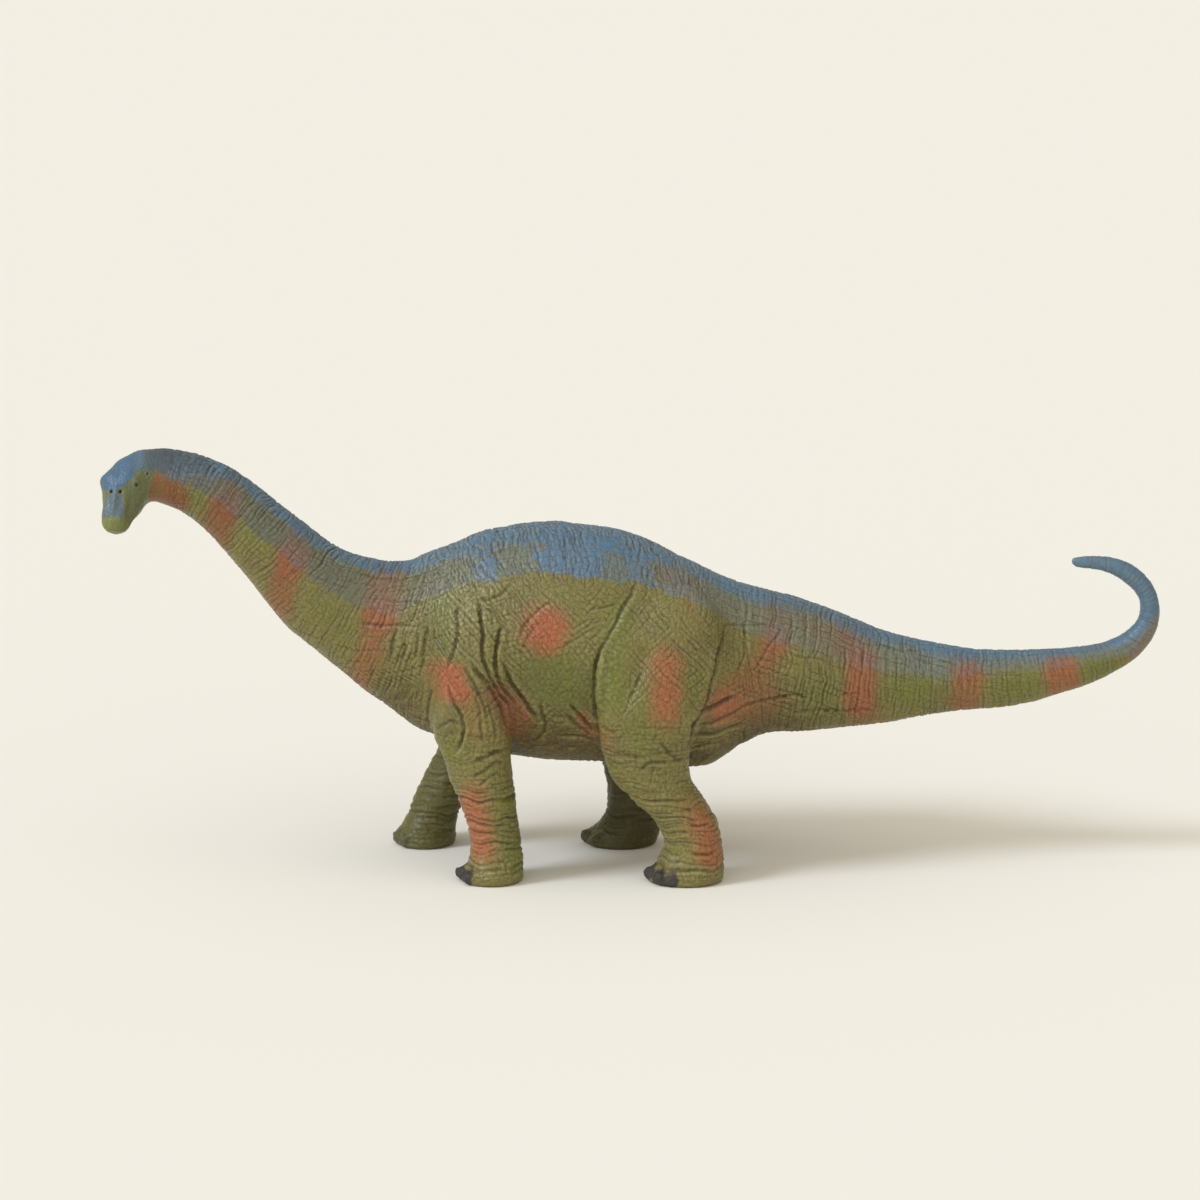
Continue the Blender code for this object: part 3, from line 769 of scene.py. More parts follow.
creased = groove(cracks(flat + bend * 0.3, (1.3, 1.3, 1.3), 170), 0.17)
shape -= on_head * (0.09 * creased + 0.05 * lumps(flat, 0.7, 171))
push(skin, shape)
print("head carved:", int((on_head > 0.5).sum()), "points")

# %% [markdown]
# ## Toenails
#
# Each foot has three or four blunt claws at its front. On the casting they are smooth lobes with
# a crease round them. A soft step raises each lobe, and a narrow groove rings it. Dark paint
# covers the claws of the near feet, and is mostly worn off the far ones.

# %% Raise the toenails
NAILS = (
    # middle of the claw in millimetres, and its half length
    (-51.9, -23.2, 2.9, 2.5), (-49.7, -28.2, 2.6, 2.3), (-50.6, -18.4, 2.8, 2.2),
    (5.3, -23.8, 3.0, 2.5), (7.8, -29.0, 2.8, 2.3), (11.6, -31.5, 1.9, 2.0),
    (6.0, -18.8, 2.8, 2.2), (-73.0, 19.2, 2.7, 2.5), (-70.9, 14.2, 2.5, 2.3),
    (-71.2, 24.6, 2.8, 2.3), (-14.1, 19.9, 2.8, 2.5), (-12.2, 15.4, 2.5, 2.3),
    (-11.8, 25.2, 2.8, 2.3), (-8.2, 29.0, 2.2, 2.0),
)
points = read_points(skin)
flat = points / MM
nail = np.zeros(len(points))
shape = np.zeros(len(points))
edge_noise = (lumps(flat, 1.2, 160) - 0.5) * 1.2
for x, y, z, size in NAILS:
    gap = np.linalg.norm((flat - (x, y, z)) * (1, 1, 0.85), axis=1) + edge_noise
    paint_left = 0.35 if y > 0 else 1
    nail = np.maximum(nail, paint_left * eased(gap, size + 1.1, size))
    shape = np.maximum(shape, 0.3 * eased(gap, size, size - 1.2))
    shape -= 0.24 * groove(gap - size - 0.15, 0.3)
push(skin, shape + 0.45 * nail * (lumps(flat, 0.9, 161) - 0.5))
print("toenails on", int((nail > 0.5).sum()), "points")

# %% [markdown]
# ## Keep the figure above the ground
#
# Puffing and carving moved the surface by fractions of a millimetre. The soles stand flat on the
# ground, so everything below it is lifted to it.

# %% Set the soles on the ground
points = read_points(skin)
points[:, 2] = np.maximum(points[:, 2], 0)
write_points(skin, points)
print("lowest point:", round(float(points[:, 2].min() / MM), 3), "mm")

# %% [markdown]
# ## Where the paint goes
#
# The factory sprays the figure through masks, so each colour is a soft or crisp shape on the side
# drawing. The lower edges of the solid blue and of the thin blue haze are listed every 6 mm or so
# along the body. Each paint gets an attribute on the points, from 0 for none to 1.

# %% The two edges of the blue
BLUE_EDGES = (
    # across, solid edge, haze edge, strength of the haze
    (100, 430, 432, 0), (124, 452, 455, 0.5), (132, 474, 476, 0.5), (142, 468, 470, 0.5),
    (150, 470, 473, 0.5),
    (160, 474, 478, 0.5), (180, 476, 483, 0.5), (200, 476, 489, 0.45),
    (220, 479, 502, 0.4), (240, 486, 520, 0.4), (260, 503, 537, 0.45), (280, 519, 552, 0.4),
    (300, 535, 571, 0.4), (320, 551, 587, 0.4), (340, 562, 599, 0.4), (360, 569, 608, 0.35),
    (380, 575, 613, 0.3), (400, 574, 616, 0.3), (420, 572, 601, 0.4), (440, 562, 595, 0.5),
    (460, 558, 587, 0.5), (472, 552, 583, 0.6), (480, 545, 583, 0.75), (496, 543, 582, 0.72),
    (500, 545, 580, 0.55), (532, 545, 573, 0.55), (538, 541, 573, 0.78), (600, 548, 579, 0.8),
    (606, 552, 581, 0.62), (622, 556, 583, 0.6), (628, 560, 583, 0.7), (650, 562, 586, 0.7),
    (656, 562, 590, 0.5), (680, 568, 599, 0.6), (700, 580, 606, 0.5), (720, 590, 614, 0.45),
    (740, 599, 630, 0.42), (760, 605, 638, 0.4), (780, 605, 645, 0.4), (800, 612, 650, 0.38),
    (820, 618, 656, 0.35), (840, 627, 663, 0.33), (860, 637, 668, 0.35), (880, 644, 674, 0.4),
    (900, 647, 676, 0.4), (920, 652, 678, 0.5), (940, 656, 679, 0.45), (960, 661, 677, 0.4),
    (1000, 662, 673, 0.4), (1040, 661, 671, 0.35), (1080, 655, 664, 0.35), (1100, 652, 658, 0.4),
    (1120, 647, 656, 0.5), (1132, 645, 660, 0.42), (1140, 638, 658, 0.4), (1148, 630, 650, 0.4),
    (1154, 621, 642, 0.4), (1200, 621, 642, 0.4),
)
edges = np.array(BLUE_EDGES, float).T
points = read_points(skin)
normals = read_normals(skin)
flat = points / MM
places = drawing_places(points)
across, down = places.T
facing = outward(points, normals)
ragged = (lumps(flat, 1.6, 140) + 0.6 * lumps(flat, 0.8, 141) - 0.8) * 7
solid_edge = np.interp(across, edges[0], edges[1])
haze_edge = np.interp(across, edges[0], edges[2])
spray = np.interp(across, (690, 800), (1, 2))
blue = eased((solid_edge - down + ragged) / spray, -6, 5)
blue *= np.interp(across, (138, 144, 162, 180, 215), (0.9, 0.5, 0.62, 0.75, 0.92))
uneven = across + (lumps(flat, (2.6, 2.6, 1.4), 142) - 0.5) * 22
haze = eased((haze_edge - down + ragged) / spray, -5, 4)
haze *= np.interp(uneven, edges[0], edges[3])
haze *= np.interp(across, (200, 230, 380, 440, 720, 780), (1.7, 1.5, 1.5, 1.25, 1.25, 1.5))
blue = np.maximum(blue, 0.7 * eased(haze, 0.78, 0.95))
print("blue covers", round(float(blue.mean() * 100)), "% of the points")

# %% Paint on the head
CAP_EDGE = ((-7, -17), (-5.9, -14.2), (-5.6, -12), (-4.2, -9.2), (-2, -6.9), (0, -5.3),
            (1.6, -5.6), (4, -6.4), (5.2, -8), (5.6, -10.6), (5.9, -13), (7, -16))
reach, aside, above = head_places(flat)
on_head = eased(-flat[:, 0], 137.5, 140.5) * (flat[:, 2] > 90)
upper = on_head * eased(above, 1, 2.6)
shaky = ragged * 0.05
cap = eased(np.interp(aside, *np.array(CAP_EDGE, float).T) - reach + shaky, -0.35, 0.3) * upper
cap *= eased(across + ragged * 0.4, 142, 132)
half_stripe = np.interp(reach, (-5.5, -3.5, -1, 2.4), (0.8, 2.5, 3.3, 3.3))
stripe = (eased(half_stripe - np.abs(aside) + shaky, -0.5, 0.4) * eased(reach, -6.5, -5)
          * eased(2.4 - reach + 2 * shaky, -0.3, 0.3) * upper)
muzzle = eased(reach + 2 * shaky, 1.9, 2.7) * on_head
cheek = on_head * (1 - muzzle) * (1 - np.maximum(cap, stripe))
blue = np.maximum(blue, np.maximum(cap, 0.8 * stripe))
haze *= 1 - on_head * (across < 138)
haze = np.maximum(haze, 0.42 * cheek)
print("head painted:", int((cap > 0.5).sum()), "points in the blue cap")

# %% The sprayed terracotta marks
MARKS = (
    # strength, half width, softness, line
    (0.74, 17, 7, ((157, 487), (174, 497))),
    (0.5, 15, 10, ((234, 484), (226, 506))), (0.7, 16, 10, ((224, 508), (217, 526), (210, 546))),
    (0.5, 18, 10, ((302, 534), (292, 562))), (0.7, 16, 10, ((290, 560), (281, 590), (273, 616))),
    (0.6, 21, 9, ((386, 578), (382, 612))),
    (0.72, 15, 13, ((379, 618), (372, 646), (362, 674), (350, 698))),
    (0.35, 10, 10, ((536, 540), (540, 560))), (0.4, 13, 12, ((664, 572), (692, 586))),
    (0.88, 21, 13, ((547, 628), (546, 632))), (0.45, 29, 11, ((541, 628), (544, 632))),
    (0.92, 14, 9, ((453, 674), (457, 692))), (0.6, 13, 10, ((436, 668), (442, 690))),
    (0.4, 14, 11, ((472, 700), (476, 728))),
    (0.8, 12, 10, ((498, 694), (508, 712), (516, 728))), (0.7, 7, 8, ((518, 700), (529, 720))),
    (0.75, 8, 8, ((580, 716), (592, 730))), (0.35, 8, 8, ((528, 742), (560, 746), (590, 744))),
    (0.74, 14, 13, ((668, 668), (666, 706))), (0.42, 22, 12, ((666, 660), (664, 716))),
    (0.35, 10, 9, ((690, 606), (690, 610))), (0.4, 8, 7, ((606, 736), (607, 748))),
    (0.5, 14, 11, ((776, 604), (776, 640))), (0.42, 18, 14, ((810, 618), (836, 640))),
    (0.7, 17, 15, ((772, 650), (752, 675), (722, 706))),
    (0.6, 17, 14, ((722, 712), (756, 712), (770, 700))),
    (0.5, 18, 11, ((857, 634), (862, 668))), (0.68, 17, 9, ((862, 664), (860, 700))),
    (0.55, 19, 9, ((858, 700), (866, 722))),
    (0.45, 15, 10, ((962, 660), (967, 672))), (0.68, 17, 9, ((967, 674), (966, 704))),
    (0.45, 16, 10, ((1058, 656), (1062, 666))), (0.74, 19, 9, ((1062, 672), (1064, 692))),
    (0.5, 7, 7, ((1156, 618), (1149, 636), (1138, 650))), (0.3, 8, 8, ((1122, 668), (1134, 660))),
    (0.8, 12, 11, ((470, 804), (475, 826), (481, 846))), (0.5, 17, 9, ((474, 794), (484, 852))),
    (0.76, 13, 11, ((702, 822), (711, 838), (711, 856))), (0.4, 19, 10, ((692, 810), (706, 852))),
)
LEG_TOP = 752
DRIFT = 4


def sprayed(places, marks):
    """How thickly the drawn marks cover each place, from 0 to 1."""
    bare = np.ones(len(places))
    for strength, half_width, softness, line in marks:
        reach = half_width + softness
        near = np.all((places > np.min(line, axis=0) - reach)
                      & (places < np.max(line, axis=0) + reach), axis=1)
        gap, _, _ = line_gap(places[near], line)
        bare[near] *= 1 - strength * eased(gap, reach, half_width - softness)
    return 1 - bare


drift = np.stack((lumps(flat, 4, 150) - 0.5, lumps(flat, 4, 151) - 0.5), axis=1) * DRIFT
drifted = places + drift
red = sprayed(drifted, MARKS)
red *= np.where(down > LEG_TOP, eased(facing, -0.25, 0.25), 1)
red *= eased(across + 0.26 * (down - 474), 150, 156)
haze *= 1 - 0.85 * on_head * red
print("terracotta covers", round(float((red > 0.5).mean() * 100)), "% of the points")

# %% [markdown]
# ## Wash, dry brush, painted shade and painted highlights
#
# A thin brown wash runs into the grooves, and a pale dry brush only touches the ridges. Both
# follow the carved shape: a point that lies below the average of its neighbours is in a groove,
# and one that lies above it is on a ridge. The wash is also painted shade in the grooves, and the
# dry brush is also painted highlight on the ridges. A darker brown painted shade lies in the broad
# hollows, and a thin coat of it darkens the underside of the belly, the insides of the legs and
# parts of the neck.

# %% Measure grooves and ridges
edge_ends = np.empty(len(skin.edges) * 2, np.int32)
skin.edges.foreach_get("vertices", edge_ends)
edge_ends = edge_ends.reshape(-1, 2)


def averaged(values, passes):
    """Values on the points, each pass moved halfway to the average of the neighbours."""
    one, other = edge_ends.T
    count = np.bincount(one, minlength=len(values)) + np.bincount(other, minlength=len(values))
    for _ in range(passes):
        total = np.stack([np.bincount(one, column[other], len(values))
                          + np.bincount(other, column[one], len(values))
                          for column in values.T], axis=1)
        values = (values + total / count[:, None]) / 2
    return values


fine_level = averaged(flat, 4)
broad_level = averaged(fine_level, 44)
fine_depth = ((fine_level - flat) * normals).sum(axis=1)
broad_depth = ((broad_level - fine_level) * normals).sum(axis=1)
# Darker in the grooves: brown wash paint, and painted shade in them as well.
wash = eased(fine_depth, 0.004, 0.075)
# Painted shade in the broad hollows.
shade = eased(broad_depth, 0.05, 0.42)
# Lighter on the ridges: pale dry brush paint, and painted highlight there as well.
ridge = eased(-fine_depth, 0.0, 0.06)
wash, shade, ridge = averaged(np.stack((wash, shade, ridge), axis=1), 1).T
print("grooves on", round(float((wash > 0.5).mean() * 100)), "% of the points")

# %% Painted shade under the belly, inside the legs, on the neck and on the head
# Painted shade sprayed into the armpit, a hollow of the flank and beside the thigh's fold.
ARMPIT_SHADE = (
    (0.62, 14, 9, ((496, 690), (508, 712), (520, 730))), (0.3, 26, 18, ((546, 676), (574, 690))),
    (0.42, 3, 9, ((592, 664), (588, 700), (592, 734))),
)
trunk_part = eased(across, 330, 420) * eased(across, 880, 740) * eased(flat[:, 2], 28, 40)
# Where the points face down, the belly gets painted shade and a little terracotta.
belly = 0.95 * eased(-normals[:, 2], 0.1, 0.75) * trunk_part
red = np.maximum(red, 0.25 * belly)
# Painted shade on the insides of the legs, which face the middle; the front legs get less of it.
inner = (across > 380) * (across < 745) * eased(flat[:, 2], 66, 50) * eased(facing, 0.1, -0.5)
inner *= np.where(flat[:, 0] < MID_TRUNK, 0.68, 1) * eased(np.abs(flat[:, 1]), 5, 9)
# Painted shade on the blue behind the head.
nape = np.interp(across, (165, 185), (1.45, 0.8)) * blue
nape *= eased(across, 139, 148) * eased(across, 225, 195)
armpit = sprayed(drifted, ARMPIT_SHADE)
# Painted shade on the terracotta of the neck and the tail.
shaded_red = red * (neck * np.interp(across, (230, 290), (0.75, 0.45)) + 0.32 * tail)
# Painted shade on the neck's haze, where no solid blue covers it.
shaded_haze = 0.72 * neck * haze * (1 - blue)
# Painted shade on the snout's far side.
snout_side = 0.3 * muzzle * eased(-aside, -1, 3)
# The insides of the legs also get the wash colour, as painted shade.
wash = np.maximum(wash, 0.4 * inner)
# The darkest of these is kept: painted shade in hollows, under the belly, inside the legs, at the
# nape, armpit and neck and on the snout's far side; the head's blue cap and stripe and the whip get
# a darker coat from it too.
shade = np.max(np.stack((shade, belly, inner, nape, armpit, shaded_red, 0.32 * cap, 0.25 * stripe,
                         0.2 * slim, shaded_haze, snout_side)), axis=0)
print("shade on", round(float((shade > 0.5).mean() * 100)), "% of the points")

# %% Green, pale dry brush with painted highlights, and pits of painted shade
LEAF_MARKS = (
    (0.9, 28, 16, ((546, 676), (574, 690))), (0.85, 12, 9, ((622, 610), (612, 650), (610, 700))),
    (0.7, 12, 9, ((440, 604), (438, 644))), (0.5, 11, 12, ((316, 600), (346, 628))),
    (0.45, 8, 10, ((250, 534), (262, 550))), (0.6, 8, 7, ((194, 496), (200, 500))),
    (0.85, 16, 9, ((905, 690), (925, 692))), (0.8, 14, 9, ((1005, 688), (1025, 686))),
    (0.8, 12, 9, ((1090, 674), (1110, 668))), (0.6, 12, 9, ((512, 800), (516, 860))),
    (0.6, 18, 11, ((815, 692), (825, 700))), (0.5, 12, 9, ((690, 680), (694, 700))),
    (0.6, 18, 14, ((636, 700), (648, 750))), (0.5, 10, 9, ((446, 724), (450, 750))),
)
# Where the pale coat is stronger: dry brush paint, with painted highlights on the shoulder, the
# thigh's front edge and the back's crest.
PALE_MARKS = (
    (0.9, 30, 26, ((440, 590), (480, 610))), (0.6, 4, 5, ((650, 640), (640, 672), (628, 712))),
    (0.7, 9, 12, ((412, 600), (404, 640))), (0.5, 12, 14, ((634, 602), (650, 600))),
    (0.6, 8, 12, ((470, 866), (516, 872))), (0.6, 8, 12, ((690, 874), (716, 876))),
    (0.5, 18, 14, ((520, 610), (560, 596))), (0.8, 7, 8, ((618, 622), (609, 650), (606, 694))),
    (0.6, 13, 14, ((430, 548), (500, 524), (560, 518), (620, 532), (700, 568))),
    (0.5, 12, 12, ((226, 488), (262, 512), (300, 542), (340, 566))),
)
# A painted sheen down the front of the thigh, broken into flecks by noise.
THIGH_SHEEN = ((0.8, 3, 6, ((614, 630), (608, 652), (605, 690), (608, 726))),)
# The insides of the legs also get the darker green, as painted shade.
leaf = np.maximum(sprayed(drifted, LEAF_MARKS), np.maximum(0.8 * cheek, inner))
muzzle = np.maximum(muzzle, 0.6 * cheek)
ridge *= 0.42 + 0.58 * sprayed(drifted, PALE_MARKS)
painted_sheen = 0.9 * sprayed(drifted, THIGH_SHEEN)
ridge = np.maximum(ridge, painted_sheen * lumps(flat, (1.2, 1.2, 1.8), 155) ** 2)
ridge = np.maximum(ridge, 0.5 * on_head * hill(reach + 3, aside - 4.4, 2.2, 1.2))
# Black in the nostrils, the ear hole and round the eye sockets: painted shade in these pits.
pits = hill(reach + 5.3, np.abs(aside) - 1.45, 0.5, 0.42) * upper
pits = np.maximum(pits, on_head * eased(ear_gap, 0.6, 0.25))
pits = np.maximum(pits, 0.6 * on_head * eased(eye_gap, 0.8, 0.45))
print("green and dark pits placed")


# %% Store the paint on the points
def store(mesh, name, values):
    """Adds a number per point that the materials can read."""
    attribute = mesh.attributes.new(name, "FLOAT", "POINT")
    attribute.data.foreach_set("value", values.astype(np.float32))


fine = (1 - 0.5 * smooth_parts) * (0.6 + 0.7 * lumps(flat, 7, 143)) * (1 - nail)
fine *= (1 - 0.7 * on_head) * (1 - 0.4 * leg) * (1 - 0.5 * slim) * (1 - 0.6 * eased(pits, 0, 0.3))
for name, values in (("blue", blue), ("haze", haze), ("red", red), ("wash", wash),
                     ("shade", shade), ("ridge", ridge), ("leaf", leaf), ("nail", nail),
                     ("muzzle", muzzle), ("pits", pits), ("fine", fine), ("limb", leg)):
    store(skin, name, np.clip(values, 0, 1))
store(skin, "run", along)
store(skin, "round", around)
print("stored", len(skin.attributes), "attributes")

# %% [markdown]
# ## Cut the skin into the real pieces
#
# A vinyl figure like this is cast in parts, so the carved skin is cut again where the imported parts
# meet. Flat joints are cut with bisect_plane, and the hole is filled. The legs need a curved cut:
# a boolean with a puffed-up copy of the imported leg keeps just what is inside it.

# %% Cut with planes and with leg shapes
LEGS = ("front_left_leg", "front_right_leg", "hind_left_leg", "hind_right_leg")
LEG_PUFF = 1.6 * MM


def leg_cutter(name):
    """A closed, smooth shape a little larger than a packed leg."""
    rough = linked("rough", solid_mesh("rough", copy_of([name], LEG_PUFF)))
    form = opened(with_modifier(rough, "REMESH", mode="VOXEL", voxel_size=1.5 * MM))
    bpy.data.objects.remove(rough)
    smooth_where(form, everywhere, 3)
    cutter = linked("cutter", solid_mesh("cutter", form))
    cutter.data.attributes.new("cut", "FLOAT", "FACE")
    cutter.data.attributes["cut"].data.foreach_set("value", np.ones(len(cutter.data.polygons)))
    return cutter


def cut_by(thing, cutter, operation):
    """The mesh left when a cutter keeps (INTERSECT) or takes (DIFFERENCE) part of a thing."""
    return with_modifier(thing, "BOOLEAN", object=cutter, operation=operation,
                         solver="MANIFOLD")


skin.attributes.new("cut", "FLOAT", "FACE")
trunk = linked("trunk", skin)
pieces = {}
for name in LEGS:
    cutter = leg_cutter(name)
    pieces[name] = cut_by(trunk, cutter, "INTERSECT")
    trunk.data = cut_by(trunk, cutter, "DIFFERENCE")
    bpy.data.objects.remove(cutter)
    print(name, len(pieces[name].polygons), "faces")


# %% Cut the trunk, the neck and the tail
def halves(mesh, place, direction):
    """Two meshes, before and past a plane along a direction, each closed where it was cut."""
    parts = []
    for clear in ({"clear_outer": True}, {"clear_inner": True}):
        form = opened(mesh)
        bmesh.ops.bisect_plane(form, geom=form.verts[:] + form.edges[:] + form.faces[:],
                               dist=1e-8, plane_co=Vector(place) * MM,
                               plane_no=Vector(direction), **clear)
        rim = [edge for edge in form.edges if edge.is_boundary]
        cap = bmesh.ops.holes_fill(form, edges=rim, sides=0)["faces"]
        marked = form.faces.layers.float["cut"]
        for face in cap:
            face[marked] = 1
        bmesh.ops.recalc_face_normals(form, faces=form.faces)
        parts.append(solid_mesh("part", form))
    return parts


NECK_JOINT, TAIL_JOINT, SEAM = (-64, 0, 0), (TAIL_ROOT, 0, 0), (0, 0, 0)
HEAD_JOINT, WHIP_JOINT = (-141.1, 0, 119.8), (104.7, 0, 57)
BACKWARDS, RIGHTWARDS, DOWN_THE_NECK = (1, 0, 0), (0, 1, 0), (0.97, 0, -0.24)
front, rest = halves(trunk.data, NECK_JOINT, BACKWARDS)
middle, rear = halves(rest, TAIL_JOINT, BACKWARDS)
pieces["torso_left"], pieces["torso_right"] = halves(middle, SEAM, RIGHTWARDS)
pieces["head"], pieces["neck"] = halves(front, HEAD_JOINT, DOWN_THE_NECK)
pieces["tail_base"], pieces["tail_tip"] = halves(rear, WHIP_JOINT, BACKWARDS)
bpy.data.objects.remove(trunk)
for name, mesh in sorted(pieces.items()):
    print(name, len(mesh.vertices), "points")

# %% [markdown]
# ## The painted vinyl
#
# One finish covers the whole figure, because the paint runs on over the joints. It is built up in
# the factory's order, with painted shade and painted highlights laid in among the coats. A little
# noise breaks up the sprayed masks, so that no edge looks printed.
# The finest hairlines and pores are too small to carve, so thin paint and a bump do them.

# %% Colours
def tone(red, green, blue):
    """A colour written as 0 to 255 per channel, as the shader needs it."""
    linear = [(v / 255 / 12.92) if v <= 10 else ((v / 255 + 0.055) / 1.055) ** 2.4
              for v in (red, green, blue)]
    return (*linear, 1)


OLIVE = tone(120, 112, 54)
LEAF_GREEN = tone(104, 112, 38)
DULL_BROWN = tone(100, 84, 46)
TERRACOTTA = tone(173, 85, 53)
HAZE_BLUE = tone(94, 116, 136)
BACK_BLUE = tone(78, 116, 146)
MUZZLE_GREEN = tone(118, 126, 68)
# The wash brown is wash paint that also paints shade in the grooves and the hairlines.
WASH_AND_SHADE_BROWN = tone(58, 50, 18)
# The shade brown is painted shade.
SHADE_BROWN = tone(52, 36, 10)
# The pale brush is dry brush paint that also paints highlights on the ridges.
PALE_BRUSH_AND_HIGHLIGHT = tone(184, 180, 138)
NAIL_GREY = tone(60, 54, 47)
# The pit black is painted shade in the small pits of the head.
PIT_BLACK = tone(22, 24, 22)
print("12 paints mixed")


# %% Shader helpers
def feed(tree, sockets, values):
    """Links each socket to another node's output, or sets its number or colour."""
    for socket, value in zip(sockets, values):
        if isinstance(value, bpy.types.NodeSocket):
            tree.links.new(value, socket)
        else:
            socket.default_value = value


def node(tree, kind, **inputs):
    """Adds a node, and sets or links its inputs by name."""
    made = tree.nodes.new(kind)
    feed(tree, [made.inputs[name.replace("_", " ")] for name in inputs], inputs.values())
    return made


def mask(tree, name):
    """The output of an attribute stored on the points."""
    made = tree.nodes.new("ShaderNodeAttribute")
    made.attribute_name = name
    return made.outputs["Fac"]


def maths(tree, operation, first, second=0.0, third=0.0, clamp=False):
    """One sum on two or three numbers."""
    made = tree.nodes.new("ShaderNodeMath")
    made.operation = operation
    made.use_clamp = clamp
    feed(tree, made.inputs, (first, second, third))
    return made.outputs[0]


def layer(tree, below, paint, amount):
    """A coat of paint over what is below it."""
    made = tree.nodes.new("ShaderNodeMix")
    made.data_type = "RGBA"
    share, lower, upper = (made.inputs[index] for index in (0, 6, 7))
    feed(tree, (share, lower, upper), (amount, below, paint))
    return made.outputs[2]


def new_material(name):
    """A material with its node tree and its main shader."""
    material = bpy.data.materials.new(name)
    material.use_nodes = True
    return material, material.node_tree, material.node_tree.nodes["Principled BSDF"]


# %% The hairline network
def cell_lines(tree, first, second, bend):
    """1 on the borders of flat cells, whose coordinates are two numbers, and 0 inside."""
    flat = node(tree, "ShaderNodeCombineXYZ", X=first, Y=second).outputs["Vector"]
    bent = tree.nodes.new("ShaderNodeVectorMath")
    bent.operation = "ADD"
    tree.links.new(flat, bent.inputs[0])
    tree.links.new(bend, bent.inputs[1])
    cells = node(tree, "ShaderNodeTexVoronoi", Vector=bent.outputs["Vector"], Scale=1.0,
                 Randomness=0.85)
    cells.voronoi_dimensions = "2D"
    cells.feature = "DISTANCE_TO_EDGE"
    return maths(tree, "MULTIPLY_ADD", cells.outputs["Distance"], -10.0, 1.0, clamp=True)


def fine_network(tree, place):
    """Hairlines in the skin, across the body's length, and level round the legs."""
    warp = node(tree, "ShaderNodeTexNoise", Vector=place, Scale=420.0, Detail=2.0)
    spread = tree.nodes.new("ShaderNodeVectorMath")
    spread.operation = "SCALE"
    spread.inputs["Scale"].default_value = 0.5
    tree.links.new(warp.outputs["Color"], spread.inputs[0])
    split = node(tree, "ShaderNodeSeparateXYZ", Vector=place)
    round_leg = maths(tree, "ADD", split.outputs["X"], split.outputs["Y"])
    on_body = cell_lines(tree, maths(tree, "DIVIDE", mask(tree, "run"), 1.5),
                         maths(tree, "DIVIDE", mask(tree, "round"), 2.3), spread.outputs[0])
    on_legs = cell_lines(tree, maths(tree, "DIVIDE", round_leg, 3.0 * MM),
                         maths(tree, "DIVIDE", split.outputs["Z"], 1.4 * MM), spread.outputs[0])
    limb = mask(tree, "limb")
    return maths(tree, "ADD", maths(tree, "MULTIPLY", on_legs, limb),
                 maths(tree, "MULTIPLY", on_body, maths(tree, "SUBTRACT", 1.0, limb)))


# %% Build the finish
def painted_vinyl():
    """Satin vinyl with the factory's paint in layers, and painted shade and highlights among them.
    """
    material, tree, shader = new_material("painted_vinyl")
    place = tree.nodes.new("ShaderNodeTexCoord").outputs["Object"]

    def noise(scale, detail=2.0):
        return node(tree, "ShaderNodeTexNoise", Vector=place, Scale=scale,
                    Detail=detail).outputs["Fac"]

    blotches, speckle, pores = noise(90.0), noise(900.0, 3.0), noise(2600.0)

    def thin(name, strength):
        """A mask times a strength."""
        return maths(tree, "MULTIPLY", mask(tree, name), strength)

    def broken(name, strength):
        """A mask with an edge that the speckle breaks up."""
        drifted = maths(tree, "MULTIPLY_ADD", maths(tree, "SUBTRACT", speckle, 0.5), strength,
                        mask(tree, name))
        return maths(tree, "MULTIPLY", drifted, mask(tree, name), clamp=True)

    dull = maths(tree, "MULTIPLY", maths(tree, "SUBTRACT", blotches, 0.47), 1.8, clamp=True)
    hairlines = maths(tree, "MULTIPLY", fine_network(tree, place), mask(tree, "fine"))
    coat = OLIVE
    # The wash brown is wash paint and painted shade, the shade brown and the pit black are painted
    # shade, and the pale brush is dry brush and painted highlight.
    for paint, amount in (
            (LEAF_GREEN, thin("leaf", 0.9)), (DULL_BROWN, dull), (MUZZLE_GREEN, thin("muzzle", 1)),
            (TERRACOTTA, broken("red", 0.9)), (HAZE_BLUE, broken("haze", 0.8)),
            (BACK_BLUE, broken("blue", 0.5)), (PALE_BRUSH_AND_HIGHLIGHT, thin("ridge", 0.42)),
            (WASH_AND_SHADE_BROWN, maths(tree, "MULTIPLY", hairlines, 0.5)), (WASH_AND_SHADE_BROWN, thin("wash", 0.6)),
            (SHADE_BROWN, thin("shade", 0.6)), (NAIL_GREY, thin("nail", 1)),
            (PIT_BLACK, thin("pits", 1))):
        coat = layer(tree, coat, paint, amount)
    tree.links.new(coat, shader.inputs["Base Color"])
    satin = maths(tree, "MULTIPLY_ADD", mask(tree, "wash"), 0.22,
                  maths(tree, "MULTIPLY_ADD", speckle, 0.16, 0.31))
    satin = maths(tree, "MULTIPLY_ADD", mask(tree, "nail"), 0.25, satin)
    tree.links.new(satin, shader.inputs["Roughness"])
    shader.inputs["Specular IOR Level"].default_value = 0.42
    grain = maths(tree, "ADD", maths(tree, "MULTIPLY", speckle, 0.6), pores)
    grain = maths(tree, "MULTIPLY_ADD", hairlines, -1.6, grain)
    bump = node(tree, "ShaderNodeBump", Height=grain, Strength=0.45, Distance=0.12 * MM)
    tree.links.new(bump.outputs["Normal"], shader.inputs["Normal"])
    return material


vinyl = painted_vinyl()
print("finish:", len(vinyl.node_tree.nodes), "nodes")

# %% [markdown]
# ## Put the pieces in place
#
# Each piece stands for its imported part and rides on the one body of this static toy. Faces are
# smooth, and the rims of the cuts are sharp, so that the inner wall doesn't bend the light on the
# skin beside it.


